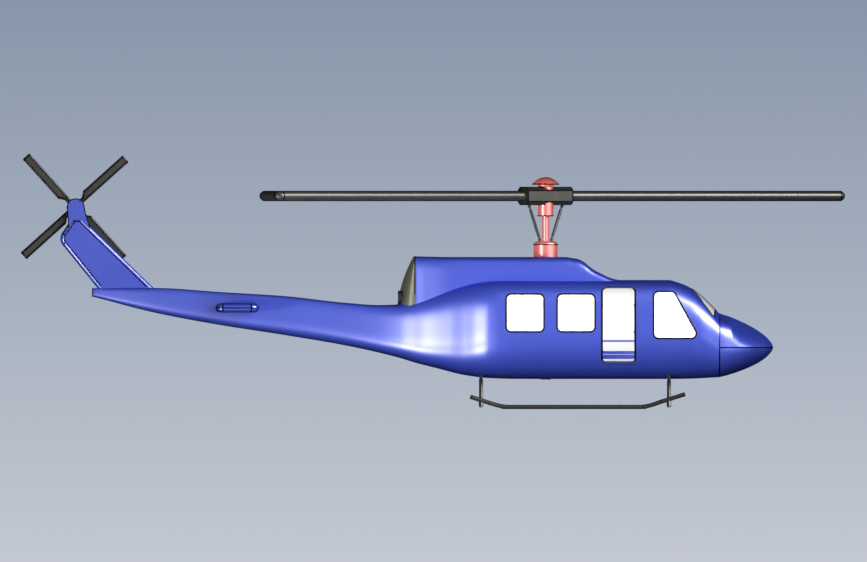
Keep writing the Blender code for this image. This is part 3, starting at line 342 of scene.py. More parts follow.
top, bottom, width, widest = Curve(TOP), Curve(BOTTOM), Curve(WIDTH), Curve(WIDEST)
full_above, full_below = Curve(FULL_ABOVE), Curve(FULL_BELOW)
sheen_above = Curve(SHEEN_ABOVE)
nose_width, nose_rise, nose_drop = Curve(NOSE_WIDTH), Curve(NOSE_RISE), Curve(NOSE_DROP)
cowl_top, cowl_width = Curve(COWL_TOP), Curve(COWL_WIDTH)


def body_sizes(x, inset=0.0):
    """Half width, widest line's height, rise, drop and the two fullnesses of the body's section at X."""
    middle = widest(x)
    return (
        width(x) - inset,
        middle,
        top(x) - middle - inset,
        middle - bottom(x) - inset,
        full_above(x),
        full_below(x),
    )


def nose_sizes(x):
    share = np.sqrt(np.clip((NOSE_TIP - x) / (NOSE_TIP - NOSE_SPLIT), 1e-9, 1))
    return (
        nose_width(share),
        NOSE_LINE + 0 * x,
        nose_rise(share),
        nose_drop(share),
        NOSE_FULL_ABOVE - NOSE_LOSS_ABOVE * (1 - share),
        NOSE_FULL_BELOW - NOSE_LOSS_BELOW * (1 - share),
    )


def own_half(lift, rise, drop, above, below):
    """Height and fullness of the half of a section, upper or lower, on which a point lies."""
    return np.where(lift >= 0, rise, drop), np.where(lift >= 0, above, below)


def section(x, angles, sizes):
    """Points round superellipse sections, one row for each X, spread evenly by direction."""
    x = np.asarray(x, float)[:, None]
    half, middle, *halves = (np.broadcast_to(v, x.shape) for v in sizes(x))
    c, s = np.cos(angles)[None, :], np.sin(angles)[None, :]
    height, full = own_half(s, *halves)
    reach = (np.abs(c) ** full + np.abs(s) ** full) ** (-1 / full)
    return np.stack([x + 0 * c, half * reach * c, middle + height * reach * s], axis=-1)


def section_field(sizes):
    """A function that is zero on the skin and grows outwards."""

    def field(points):
        half, middle, *halves = sizes(points[:, 0])
        lift = points[:, 2] - middle
        height, full = own_half(lift, *halves)
        return (np.abs(points[:, 1] / half) ** full + np.abs(lift / height) ** full) ** (1 / full)

    return field


def cowl_field(points):
    x, y, z = points.T
    lift = np.maximum(z - COWL_MIDDLE, 0) / (cowl_top(x) - COWL_MIDDLE)
    return (np.abs(y / cowl_width(x)) ** COWL_FULL + lift**COWL_FULL) ** (1 / COWL_FULL)


def unit(rows):
    """Rows of vectors, each made one long."""
    return rows / np.maximum(np.linalg.norm(rows, axis=1, keepdims=True), 1e-12)


def slope(field, points):
    """The field's unit gradient at each point."""
    reach = 0.0005
    found = np.empty_like(points)
    for axis in range(3):
        step = np.zeros(3)
        step[axis] = reach
        found[:, axis] = field(points + step) - field(points - step)
    return unit(found)


def shaded(sizes):
    """The same sections with the fullness that shades the cockpit and the nose."""

    def changed(x):
        half, middle, rise, drop, above, below = sizes(x)
        return half, middle, rise, drop, np.where(x > SHEEN_FROM, sheen_above(x), above), below

    return changed


body_field = section_field(body_sizes)
body_sheen = section_field(shaded(body_sizes))
nose_sheen = section_field(shaded(nose_sizes))
lining_field = section_field(lambda x: body_sizes(x, WALL))
nose_field = section_field(nose_sizes)


def skin_side(x, z):
    """Distance of the body's skin from the middle plane."""
    half, middle, *halves = body_sizes(x)
    lift = z - middle
    height, full = own_half(lift, *halves)
    return half * np.maximum(1 - np.abs(lift / height) ** full, 0) ** (1 / full)


def skin_height(x, y):
    """Height of the body's upper skin."""
    half, middle, rise, _, above, _ = body_sizes(x)
    return middle + rise * np.maximum(1 - np.abs(y / half) ** above, 0) ** (1 / above)


# Mesh making


def add_object(name, data):
    obj = bpy.data.objects.new(name, data)
    bpy.context.scene.collection.objects.link(obj)
    return obj


def mesh_of(name, form, finishes):
    """A mesh made from a form, which is freed."""
    mesh = bpy.data.meshes.new(name)
    form.to_mesh(mesh)
    form.free()
    for finish in finishes:
        mesh.materials.append(finish)
    return mesh


def clean(mesh, distance=0.00002, turn_out=True):
    """Joins points that lie together, and turns the faces outwards."""
    form = bmesh.new()
    form.from_mesh(mesh)
    bmesh.ops.remove_doubles(form, verts=form.verts, dist=distance)
    if turn_out:
        bmesh.ops.recalc_face_normals(form, faces=form.faces)
    form.to_mesh(mesh)
    form.free()


def mesh_object(name, points, faces, finishes, tidy=True):
    mesh = bpy.data.meshes.new(name)
    mesh.from_pydata([tuple(p) for p in np.asarray(points, float)], [], faces)
    for finish in finishes:
        mesh.materials.append(finish)
    if tidy:
        clean(mesh)
    return add_object(name, mesh)


def quads(rows, columns, closed, start=0):
    """Faces of a grid of points, closed round its columns or open."""
    faces = []
    last = columns if closed else columns - 1
    for i in range(rows - 1):
        for j in range(last):
            k = (j + 1) % columns
            a = start + i * columns
            faces.append((a + j, a + k, a + columns + k, a + columns + j))
    return faces


def loft(name, rings, finishes):
    """A closed solid through rings of points, with flat ends."""
    rings = np.asarray(rings, float)
    rows, columns, _ = rings.shape
    faces = quads(rows, columns, True)
    faces.append(tuple(range(columns)))
    faces.append(tuple((rows - 1) * columns + j for j in range(columns)))
    return mesh_object(name, rings.reshape(-1, 3), faces, finishes)


def wall(name, outer, inner, finishes, closed=True):
    """A closed wall between two grids of points, painted outside and lined inside."""
    rows, columns, _ = outer.shape
    start = rows * columns
    faces = quads(rows, columns, closed) + quads(rows, columns, closed, start)
    count = len(faces) // 2
    rims = []
    last = columns if closed else columns - 1
    for j in range(last):
        k = (j + 1) % columns
        rims.append((j, k, start + k, start + j))
        a = (rows - 1) * columns
        rims.append((a + j, a + k, start + a + k, start + a + j))
    if not closed:
        for i in range(rows - 1):
            for j in (0, columns - 1):
                a, b = i * columns + j, (i + 1) * columns + j
                rims.append((a, b, start + b, start + a))
    points = np.concatenate([outer.reshape(-1, 3), inner.reshape(-1, 3)])
    obj = mesh_object(name, points, faces + rims, finishes)
    inside = np.zeros(len(obj.data.polygons), int)
    inside[count : 2 * count] = LINING
    inside[2 * count :] = EDGE
    obj.data.polygons.foreach_set("material_index", inside)
    return obj


def rounded(corners, radius, steps=ARC):
    """A closed outline with each corner of a polygon rounded by an arc."""
    points = []
    radii = radius if isinstance(radius, (list, tuple)) else [radius] * len(corners)
    for i, corner in enumerate(corners):
        here = Vector(corner)
        if radii[i] == 0:
            points.append(here)
            continue
        before = (Vector(corners[i - 1]) - here).normalized()
        after = (Vector(corners[(i + 1) % len(corners)]) - here).normalized()
        half = before.angle(after) / 2
        reach = radii[i] / math.tan(half)
        centre = here + (before + after).normalized() * radii[i] / math.sin(half)
        first = here + before * reach - centre
        last = here + after * reach - centre
        sweep = math.pi - 2 * half
        side = math.copysign(1, first.x * last.y - first.y * last.x)
        for k in range(steps + 1):
            points.append(centre + Matrix.Rotation(side * sweep * k / steps, 2) @ first)
    return points


def moved_in(corners, shrink):
    """A polygon with every side moved in by a small distance."""
    moved = []
    middle = sum((Vector(c) for c in corners), Vector((0, 0))) / len(corners)
    for i, corner in enumerate(corners):
        here = Vector(corner)
        before = (here - Vector(corners[i - 1])).normalized()
        after = (Vector(corners[(i + 1) % len(corners)]) - here).normalized()
        inward = Vector((-before.y, before.x)) + Vector((-after.y, after.x))
        if inward.dot(middle - here) < 0:
            inward.negate()
        inward.normalize()
        moved.append(here + inward * shrink / math.cos(before.angle(after) / 2))
    return moved


def dense(points, step):
    """The closed outline with extra points so that none are further apart than a step."""
    found = []
    for a, b in zip(points, points[1:] + points[:1]):
        parts = max(1, math.ceil((b - a).length / step))
        found += [a + (b - a) * k / parts for k in range(parts)]
    return found


def prism(name, outline, along, low, high, finishes=()):
    """A flat outline in X and Z pushed through along Y, or one in X and Y pushed through along Z."""
    count = len(outline)
    if along == "Y":
        ends = [[(p[0], level, p[1]) for p in outline] for level in (low, high)]
    else:
        ends = [[(p[0], p[1], level) for p in outline] for level in (low, high)]
    faces = quads(2, count, True) + [tuple(range(count)), tuple(range(count, 2 * count))]
    obj = mesh_object(name, ends[0] + ends[1], faces, finishes)
    if not finishes:
        obj.data.polygons.foreach_set("material_index", [EDGE] * len(obj.data.polygons))
    return obj


def box(name, low, high, finishes=()):
    outline = [Vector((low[0], low[1])), Vector((high[0], low[1])), Vector((high[0], high[1]))]
    outline.append(Vector((low[0], high[1])))
    return prism(name, outline, "Z", low[2], high[2], finishes)


def carve(obj, operation, *others):
    """Cuts or joins the object with others and makes the result its mesh."""
    for other in others:
        cut = obj.modifiers.new(operation.lower(), "BOOLEAN")
        cut.operation = operation
        cut.object = other
        cut.solver = "EXACT"
    return settle(obj)


def settle(obj):
    """Makes the modifiers part of the mesh."""
    graph = bpy.context.evaluated_depsgraph_get()
    mesh = bpy.data.meshes.new_from_object(obj.evaluated_get(graph), depsgraph=graph)
    obj.modifiers.clear()
    obj.data = mesh
    return obj


def copy_of(obj, name):
    return add_object(name, obj.data.copy())


def mirrored(obj, name):
    """The same piece on the other side of the middle plane."""
    made = copy_of(obj, name)
    made.data.transform(Matrix.Scale(-1, 4, (0, 1, 0)))
    made.data.flip_normals()
    return made


def remove(*objects):
    for obj in objects:
        bpy.data.objects.remove(obj, do_unlink=True)


def joined(name, objects):
    """Several objects as one."""
    form = bmesh.new()
    finishes = []
    for obj in objects:
        places = []
        for finish in obj.data.materials:
            if finish not in finishes:
                finishes.append(finish)
            places.append(finishes.index(finish))
        start = len(form.faces)
        form.from_mesh(obj.data)
        form.faces.ensure_lookup_table()
        for face in form.faces[start:]:
            face.material_index = places[min(face.material_index, len(places) - 1)] if places else 0
    remove(*objects)
    return add_object(name, mesh_of(name, form, finishes))


def read(items, name, width=1, kind=float):
    """One value of every item of a mesh, or a row of values."""
    found = np.empty(len(items) * width, kind)
    items.foreach_get(name, found)
    return found.reshape(-1, width) if width > 1 else found


def shade(obj, fields):
    """Normals of a formula on the faces whose finish has one, and flat shading on the others."""
    mesh = obj.data
    places = read(mesh.vertices, "co", 3)
    at = read(mesh.loops, "vertex_index", kind=int)
    totals = read(mesh.polygons, "loop_total", kind=int)
    normals = np.repeat(read(mesh.polygons, "normal", 3), totals, axis=0)
    index = np.repeat(read(mesh.polygons, "material_index", kind=int), totals)
    for slot, field in fields.items():
        chosen = np.flatnonzero(index == slot)
        if len(chosen) == 0:
            continue
        found = slope(field, places[at[chosen]])
        agree = np.sum(found * normals[chosen], axis=1)
        found[agree < 0] *= -1
        usable = np.abs(agree) > 0.3
        normals[chosen[usable]] = found[usable]
    mesh.shade_smooth()
    mesh.normals_split_custom_set(normals.tolist())
    return obj


def soften(obj, degrees=35):
    """Smooth shading that keeps large faces flat, and is crisp where the surface turns by more than this."""
    obj.data.shade_smooth()
    obj.data.set_sharp_from_angle(angle=math.radians(degrees))
    weigh = obj.modifiers.new("weigh", "WEIGHTED_NORMAL")
    weigh.keep_sharp = True
    return obj


def bead(name, path, normals, wide, rise, closed=True):
    """A low rounded strip of black rubber laid along a path on a surface."""
    path, normals = np.asarray(path, float), np.asarray(normals, float)
    if closed:
        ahead = np.roll(path, -1, 0) - np.roll(path, 1, 0)
    else:
        ahead = np.gradient(path, axis=0)
    across = unit(np.cross(ahead, normals))
    shape = [(-0.5, -BEAD_SINK), (-0.5, 0.3 * rise), (-0.36, 0.85 * rise), (-0.15, rise)]
    shape += [(-a, b) for a, b in shape[::-1]]
    rows = np.stack([path + across * wide * u + normals * v for u, v in shape], axis=1)
    count, columns, _ = rows.shape
    faces = quads(count, columns, True)
    if closed:
        last = (count - 1) * columns
        faces += [(last + j, last + (j + 1) % columns, (j + 1) % columns, j) for j in range(columns)]
    else:
        faces += [tuple(range(columns)), tuple((count - 1) * columns + j for j in range(columns))]
    return crisp(mesh_object(name, rows.reshape(-1, 3), faces, [BLACK]))


def crisp(obj):
    """Smooth shading with sharp corners."""
    obj.data.shade_smooth()
    obj.data.set_sharp_from_angle(angle=math.radians(50))
    return obj


def fit(obj, body, slot, *nodes):
    """Ties a piece to its body, and hides the solids that it stands for. Its slot is not used."""
    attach(obj, body)
    if nodes:
        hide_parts(*nodes)
    return obj


# Finishes


def srgb(*values):
    """Linear colour of 0-255 display values."""
    found = []
    for value in values:
        share = value / 255
        found.append(share / 12.92 if share <= 0.04045 else ((share + 0.055) / 1.055) ** 2.4)
    return found


class Finish:
    """A material under construction: its Principled shader and short ways to add nodes to it."""

    def __init__(self, name, color, roughness, metallic=0.0, **more):
        self.material = bpy.data.materials.new(name)
        self.material.use_nodes = True
        self.tree = self.material.node_tree
        self.shader = self.tree.nodes["Principled BSDF"]
        self.put("Base Color", (*color, 1))
        self.put("Roughness", roughness)
        self.put("Metallic", metallic)
        for key, value in more.items():
            self.put(key.replace("_", " ").title().replace("Ior", "IOR"), value)
        self.color = color
        self.place = self.node("ShaderNodeTexCoord").outputs["Object"]

    def put(self, socket, value):
        self.shader.inputs[socket].default_value = value

    def node(self, kind, **settings):
        made = self.tree.nodes.new(kind)
        for key, value in settings.items():
            setattr(made, key, value)
        return made

    def link(self, source, target):
        self.tree.links.new(source, target)

    def noise(self, scale, detail=2.0, rough=0.5):
        made = self.node("ShaderNodeTexNoise")
        for socket, value in (("Scale", scale), ("Detail", detail), ("Roughness", rough)):
            made.inputs[socket].default_value = value
        self.link(self.place, made.inputs["Vector"])
        return made.outputs["Fac"]

    def spread(self, source, low, high, out_low=0.0, out_high=1.0):
        """The source read from one range into another."""
        made = self.node("ShaderNodeMapRange")
        sockets = ("From Min", "From Max", "To Min", "To Max")
        for socket, value in zip(sockets, (low, high, out_low, out_high)):
            made.inputs[socket].default_value = value
        self.link(source, made.inputs["Value"])
        return made.outputs["Result"]

    def mix(self, share, first, second):
        """A colour between two, which are colours or sockets."""
        made = self.node("ShaderNodeMix", data_type="RGBA")
        self.link(share, made.inputs["Factor"])
        colors = [socket for socket in made.inputs if socket.type == "RGBA"]
        for socket, value in zip(colors, (first, second)):
            if isinstance(value, bpy.types.NodeSocket):
                self.link(value, socket)
            else:
                socket.default_value = (*value, 1)
        return next(socket for socket in made.outputs if socket.type == "RGBA")

    def tint(self, source):
        self.link(source, self.shader.inputs["Base Color"])

    def bump(self, source, strength, distance):
        made = self.node("ShaderNodeBump")
        made.inputs["Strength"].default_value = strength
        made.inputs["Distance"].default_value = distance
        self.link(source, made.inputs["Height"])
        self.link(made.outputs["Normal"], self.shader.inputs["Normal"])

    def patches(self, scale, *range_out):
        """Soft patches over the surface, read into a range."""
        return self.spread(self.noise(scale, 3.0, 0.6), 0.3, 0.7, *range_out)

    def vary(self, scale, amount):
        """Makes the colour a little darker and lighter from place to place."""
        dark = [c * (1 - amount) for c in self.color]
        light = [min(c * (1 + amount), 1) for c in self.color]
        self.tint(self.mix(self.patches(scale), dark, light))

    def rough(self, scale, low, high):
        self.link(self.patches(scale, low, high), self.shader.inputs["Roughness"])


def paint_finish(name, color, roughness, metallic, coat_ior=1.9):
    coat = {"coat_weight": 1.0, "coat_roughness": COAT_ROUGHNESS, "coat_ior": coat_ior}
    made = Finish(name, color, roughness, metallic, specular_ior_level=0.0, **coat)
    made.vary(1.3, 0.03)
    made.bump(made.noise(160.0, 1.0), 0.02, 0.001)
    facing = made.node("ShaderNodeLayerWeight").outputs["Facing"]
    weight = made.spread(facing, COAT_FULL, COAT_FALLEN, 1.0, COAT_LEFT)
    made.link(weight, made.shader.inputs["Coat Weight"])
    return made


def door_stripes(made):
    """White, with blue and grey bands across the lower half of the door."""
    split = made.node("ShaderNodeSeparateXYZ")
    made.link(made.place, split.inputs["Vector"])
    height, along = split.outputs["Z"], split.outputs["X"]
    color = made.color
    front_fade = made.spread(along, DOOR_REAR + STRIPE_FADE_REAR, DOOR_FRONT - STRIPE_FADE_FRONT)
    band = made.mix(front_fade, srgb(*STRIPE_REAR), srgb(*STRIPE_FRONT))
    for low, high, tone in STRIPES:
        above = made.spread(height, low - STRIPE_EDGE, low + STRIPE_EDGE)
        below = made.spread(height, high + STRIPE_EDGE, high - STRIPE_EDGE)
        inside = made.node("ShaderNodeMath", operation="MULTIPLY")
        made.link(above, inside.inputs[0])
        made.link(below, inside.inputs[1])
        color = made.mix(inside.outputs["Value"], color, band if tone is None else srgb(*tone))
    made.tint(color)


def plain_finish(name, color, roughness, metallic=0.0, patches=None, grain=None, **more):
    """A finish with patches of a scale and an amount, and grain of a scale, a strength and a depth."""
    made = Finish(name, color, roughness, metallic, **more)
    if grain:
        scale, strength, depth = grain
        made.bump(made.noise(scale), strength, depth)
    if patches:
        made.vary(*patches)
    return made


def glowing_glazing_finish():
    made = Finish("white_glazing", (0.90, 0.90, 0.88), 0.15, coat_weight=1.0, coat_roughness=0.05)
    # Painted light: the panes glow with a white emission although no lamp is behind them, so they read
    # bright white
    made.put("Emission Color", (1.0, 1.0, 0.94, 1))
    made.put("Emission Strength", 0.66)
    made.rough(3.0, 0.12, 0.2)
    return made


def make_finishes():
    cloth, carpet = (900.0, 0.3, 0.001), (200.0, 0.2, 0.001)
    made = {
        "blue": paint_finish("blue_paint", (0.053, 0.092, 0.620), 0.5, 0.3),
        "white": paint_finish("white_paint", (0.85, 0.85, 0.86), 0.35, 0.0),
        "red": paint_finish("red_paint", (0.98, 0.19, 0.165), 0.5, 0.1, 2.4),
        "door": paint_finish("door_paint", (0.95, 0.95, 0.95), 0.35, 0.0),
        "glazing": glowing_glazing_finish(),
        "rubber": plain_finish("black_rubber", (0.004, 0.004, 0.004), 0.6, 0.0, None, (400.0, 0.1, 0.0005),
                               specular_ior_level=0.05),
        "lining": plain_finish("cabin_lining", (0.33, 0.34, 0.36), 0.85, 0.0, None, (260.0, 0.2, 0.001)),
        "dark": plain_finish("dark_metal", (0.055, 0.055, 0.047), 0.38, 0.6, (5.0, 0.12)),
        "blade": plain_finish("dark_composite", (0.05, 0.05, 0.043), 0.42, 0.2, (2.0, 0.15)),
        "bolt": plain_finish("bolt_metal", (0.10, 0.10, 0.09), 0.35, 0.9),
        "gear": plain_finish("gear_metal", (0.05, 0.05, 0.043), 0.4, 0.6, (6.0, 0.15)),
        "soot": plain_finish("sooty_metal", (0.02, 0.02, 0.018), 0.6, 0.5, (14.0, 0.4)),
        "seat": plain_finish("seat_fabric", (0.08, 0.09, 0.11), 0.9, 0.0, (30.0, 0.15), cloth),
        "floor": plain_finish("floor_covering", (0.10, 0.10, 0.11), 0.8, 0.0, (4.0, 0.15), carpet),
        "panel": plain_finish("black_panel", (0.02, 0.02, 0.02), 0.6, 0.0, None, (500.0, 0.2, 0.0005)),
        "engine": plain_finish("engine_metal", (0.25, 0.25, 0.25), 0.5, 0.8, (8.0, 0.2)),
        "cap": plain_finish("beige_metal", (0.20, 0.20, 0.14), 0.45, 0.3, (6.0, 0.08)),
    }
    door_stripes(made["door"])
    return {key: value.material for key, value in made.items()}


FINISH = make_finishes()
BLACK = FINISH["rubber"]
SKIN = [FINISH["blue"], FINISH["lining"], BLACK]


# Fuselage

ROUND_ANGLES = np.linspace(0, 2 * math.pi, ROUND, endpoint=False)


def stations(*spans):
    places = []
    for start, end, steps in spans:
        places += [start + (end - start) * k / steps for k in range(steps)]
    return np.array(places + [spans[-1][1]])


def skin_path(outline, sign, in_plan=False):
    """An outline on the side view, or in plan, laid on the body's skin, with the skin's normals."""
    first, second = np.array([tuple(p) for p in dense(outline, 0.03)]).T
    if in_plan:
        columns = [first, second, skin_height(first, second)]
    else:
        columns = [first, skin_side(first, second), second]
    path = np.stack(columns, axis=1)
    turn = np.array([1, sign, 1])
    return path * turn, slope(body_field, path) * turn


def window_corners(name):
    low_x, high_x = WINDOWS[name]
    return [(low_x, WINDOW_LOW), (high_x, WINDOW_LOW), (high_x, WINDOW_HIGH), (low_x, WINDOW_HIGH)]


DOOR_CORNERS = [
    (DOOR_REAR, DOOR_LOW), (DOOR_FRONT, DOOR_LOW), (DOOR_FRONT, DOOR_HIGH), (DOOR_REAR, DOOR_HIGH),
]


def cabin():
    """The cabin's panels, painted outside and lined inside, with windows and doors cut through."""
    rear, front = CABIN_REAR + GAP, NOSE_SPLIT - GAP
    side = HALF_WIDTH + 0.2
    aft, fore = STRAIGHT
    xs = stations((rear, aft, 8), (aft, COCKPIT_REAR, 8), (COCKPIT_REAR, fore, 3), (fore, front, 30))
    outer = section(xs, ROUND_ANGLES, body_sizes)
    inner = section(xs, ROUND_ANGLES, lambda x: body_sizes(x, WALL))
    shell = wall("cabin_shell", outer, inner, SKIN)
    openings = [window_corners(name) for name in WINDOWS] + [DOOR_CORNERS]
    side_cutters = [prism("cutter", rounded(corners, CORNER), "Y", *SIDE_BAND) for corners in openings]
    cockpit_cutters = [prism("cutter", rounded(COCKPIT_WINDOW, CORNER), "Y", -SIDE_BAND[1], SIDE_BAND[1])]
    for sign in (1, -1):
        outline = rounded([(x, sign * y) for x, y in WINDSCREEN], WINDSCREEN_CORNERS)
        cockpit_cutters.append(prism("cutter", outline, "Z", *TOP_BAND))
    limits = {
        "cabin_roof": ((rear - 1, -side, SIDE_HIGH + GAP), (COCKPIT_REAR - GAP, side, ROOF + 0.1)),
        "cabin_belly": ((rear - 1, -side, BELLY - 0.1), (front + 1, side, SIDE_LOW - GAP)),
        "cabin_side_left": ((rear - 1, 0.2, SIDE_LOW), (COCKPIT_REAR - GAP, side, SIDE_HIGH)),
        "cockpit_shell": ((COCKPIT_REAR, -side, SIDE_LOW), (front + 1, side, ROOF + 0.1)),
    }
    cutters = {"cabin_side_left": side_cutters, "cockpit_shell": cockpit_cutters}
    fields = {PAINT: body_sheen, LINING: lining_field}
    for node, (low, high) in limits.items():
        panel = copy_of(shell, node + "_skin")
        limit = box("limit", low, high)
        carve(panel, "INTERSECT", limit)
        remove(limit)
        if node in cutters:
            carve(panel, "DIFFERENCE", *cutters[node])
            remove(*cutters[node])
        if node == "cabin_side_left":
            other = mirrored(panel, "cabin_side_right_skin")
            shade(other, fields)
            fit(other, "airframe", "blue_paint", "cabin_side_right")
        shade(panel, fields)
        fit(panel, "airframe", "blue_paint", node)
    remove(shell)


def local_wall(name, near, far, finishes, xs, angles):
    """A piece of the body's wall between two depths under the skin."""
    outer = section(xs, angles, lambda x: body_sizes(x, near))
    inner = section(xs, angles, lambda x: body_sizes(x, far))
    return wall(name, outer, inner, finishes, closed=False)


def side_wall(name, near, far, finishes, rear, front):
    """A piece of the port side between two depths under the skin."""
    xs = stations((rear, front, max(2, round((front - rear) / 0.06))))
    return local_wall(name, near, far, finishes, xs, np.linspace(*SIDE_ANGLES, 64))


def pane(name, outline, along, ends):
    """One pane let into its frame, and its mirror image."""
    finishes = [FINISH["glazing"], FINISH["glazing"], BLACK]
    near, far = PANE_DEPTH, PANE_DEPTH + PANE_THICK
    if along == "Y":
        obj = side_wall(name, near, far, finishes, *ends)
        cutter = prism("cutter", outline, "Y", *SIDE_BAND)
    else:
        angles = np.linspace(0.15, math.pi / 2, 40)
        obj = local_wall(name, near, far, finishes, stations((*ends, 20)), angles)
        cutter = prism("cutter", outline, "Z", *TOP_BAND)
    carve(obj, "INTERSECT", cutter)
    remove(cutter)
    fields = {
        PAINT: section_field(lambda x: body_sizes(x, near)),
        LINING: section_field(lambda x: body_sizes(x, far)),
    }
    other = mirrored(obj, name.replace("left", "right"))
    for made in (obj, other):
        shade(made, fields)
        fit(made, "airframe", "white_glazing", made.name.replace("_pane", ""))


def panes():
    for name, (low_x, high_x) in WINDOWS.items():
        outline = rounded(moved_in(window_corners(name), PANE_GAP), CORNER - PANE_GAP)
        pane(f"window_{name}_left_pane", outline, "Y", (low_x - PANE_PAST, high_x + PANE_PAST))
    outline = rounded(moved_in(COCKPIT_WINDOW, PANE_GAP), CORNER - PANE_GAP)
    pane("cockpit_window_left_pane", outline, "Y", COCKPIT_PANE)
    outline = rounded(moved_in(WINDSCREEN, PANE_GAP), WINDSCREEN_CORNERS)
    pane("windscreen_left_pane", outline, "Z", WINDSCREEN_PANE)


def seals():
    """Black rubber round every window and round the door openings."""
    for sign, hand in HANDS:
        paths = [skin_path(rounded(window_corners(name), CORNER), sign) for name in WINDOWS]
        paths.append(skin_path(rounded(COCKPIT_WINDOW, CORNER), sign))
        paths.append(skin_path(rounded(WINDSCREEN, [r or 0.01 for r in WINDSCREEN_CORNERS]), sign, True))
        made = [bead("seal", path, normals, SEAL_WIDTH, SEAL_RISE) for path, normals in paths]
        outside = rounded(moved_in(DOOR_CORNERS, -FRAME_SEAL_OUT), CORNER + FRAME_SEAL_OUT)
        made.append(bead("seal", *skin_path(outside, sign), FRAME_SEAL_WIDTH, FRAME_SEAL_RISE))
        fit(joined(f"seals_{hand}", made), "airframe", "black_panel")


def nose():
    shares = np.concatenate([[0.0, 0.006, 0.014, 0.026, 0.042], np.linspace(0.062, 1.0, 34)])[::-1]
    xs = NOSE_TIP - (NOSE_TIP - NOSE_SPLIT - GAP) * shares**2
    for node, angles in (
        ("nose_upper", np.linspace(0, math.pi, 65)),
        ("nose_lower", np.linspace(math.pi, 2 * math.pi, 65)),
    ):
        rings = section(xs, angles, nose_sizes)
        rings[-1] = rings[-1].mean(axis=0)
        if node == "nose_upper":
            rings[..., 2] = np.maximum(rings[..., 2], NOSE_LINE + GAP)
        rows, columns, _ = rings.shape
        faces = quads(rows, columns, False)
        skin = len(faces)
        faces.append(tuple(range(columns)))
        for i in range(rows - 1):
            a, b = i * columns, (i + 1) * columns
            faces.append((a, b, b + columns - 1, a + columns - 1))
        obj = mesh_object(node + "_skin", rings.reshape(-1, 3), faces, SKIN, tidy=False)
        index = np.zeros(len(faces), int)
        index[skin:] = EDGE
        obj.data.polygons.foreach_set("material_index", index)
        clean(obj.data)
        shade(obj, {PAINT: nose_sheen})
        fit(obj, "airframe", "blue_paint", node)


def end_finish(x):
    """Finish of a flat end: painted at the tail, lined toward the cabin, black between the two pieces."""
    if x < BOOM_END + GAP:
        return PAINT
    return LINING if x > CABIN_REAR - GAP else EDGE


def rear_body():
    for node, xs in (
        ("tail_boom", stations((BOOM_END, BOOM_ROOT, 90))),
        ("aft_fuselage", stations((BOOM_ROOT + GAP, CABIN_REAR, 60))),
    ):
        obj = loft(node + "_skin", section(xs, ROUND_ANGLES, body_sizes), SKIN)
        faces = obj.data.polygons
        index = [end_finish(face.center.x) if len(face.vertices) > 4 else PAINT for face in faces]
        faces.foreach_set("material_index", index)
        shade(obj, {PAINT: body_field})
        fit(obj, "airframe", "blue_paint", node)


def cowl_grid(xs, inset):
    """Points of the cowling from the port roof line, over the top, to the starboard one."""
    angles = np.linspace(0, math.pi, 121)
    c, s = np.cos(angles)[None, :], np.sin(angles)[None, :]
    half = cowl_width(xs)[:, None] - inset
    rise = cowl_top(xs)[:, None] - COWL_MIDDLE - inset
    reach = (np.abs(c) ** COWL_FULL + np.abs(s) ** COWL_FULL) ** (-1 / COWL_FULL)
    arch = np.stack([xs[:, None] + 0 * c, half * reach * c, COWL_MIDDLE + rise * reach * s], axis=-1)
    floor = skin_height(xs, cowl_width(xs)) - COWL_SUNK
    sides = []
    for sign in (1, -1):
        column = []
        for k in range(COWL_SIDE_STEPS):
            z = floor + (COWL_MIDDLE - floor) * (k / COWL_SIDE_STEPS)
            column.append(np.stack([xs, sign * half[:, 0], np.minimum(z, COWL_MIDDLE)], axis=-1))
        sides.append(np.stack(column, axis=1))
    grid = np.concatenate([sides[0], arch, sides[1][:, ::-1]], axis=1)
    under = skin_height(grid[..., 0], grid[..., 1]) - COWL_SUNK - inset * 0.3
    grid[..., 2] = np.maximum(grid[..., 2], under)
    return grid


def cowling():
    aft, fore = COWL_STRAIGHT
    xs = stations((COWL_REAR, aft, 14), (aft, fore, 12), (fore, COWL_FRONT, 50))
    obj = wall("cowling_skin", cowl_grid(xs, 0.0), cowl_grid(xs, COWL_WALL), SKIN, closed=False)
    shade(obj, {PAINT: cowl_field})
    fit(obj, "airframe", "blue_paint", "cowling")


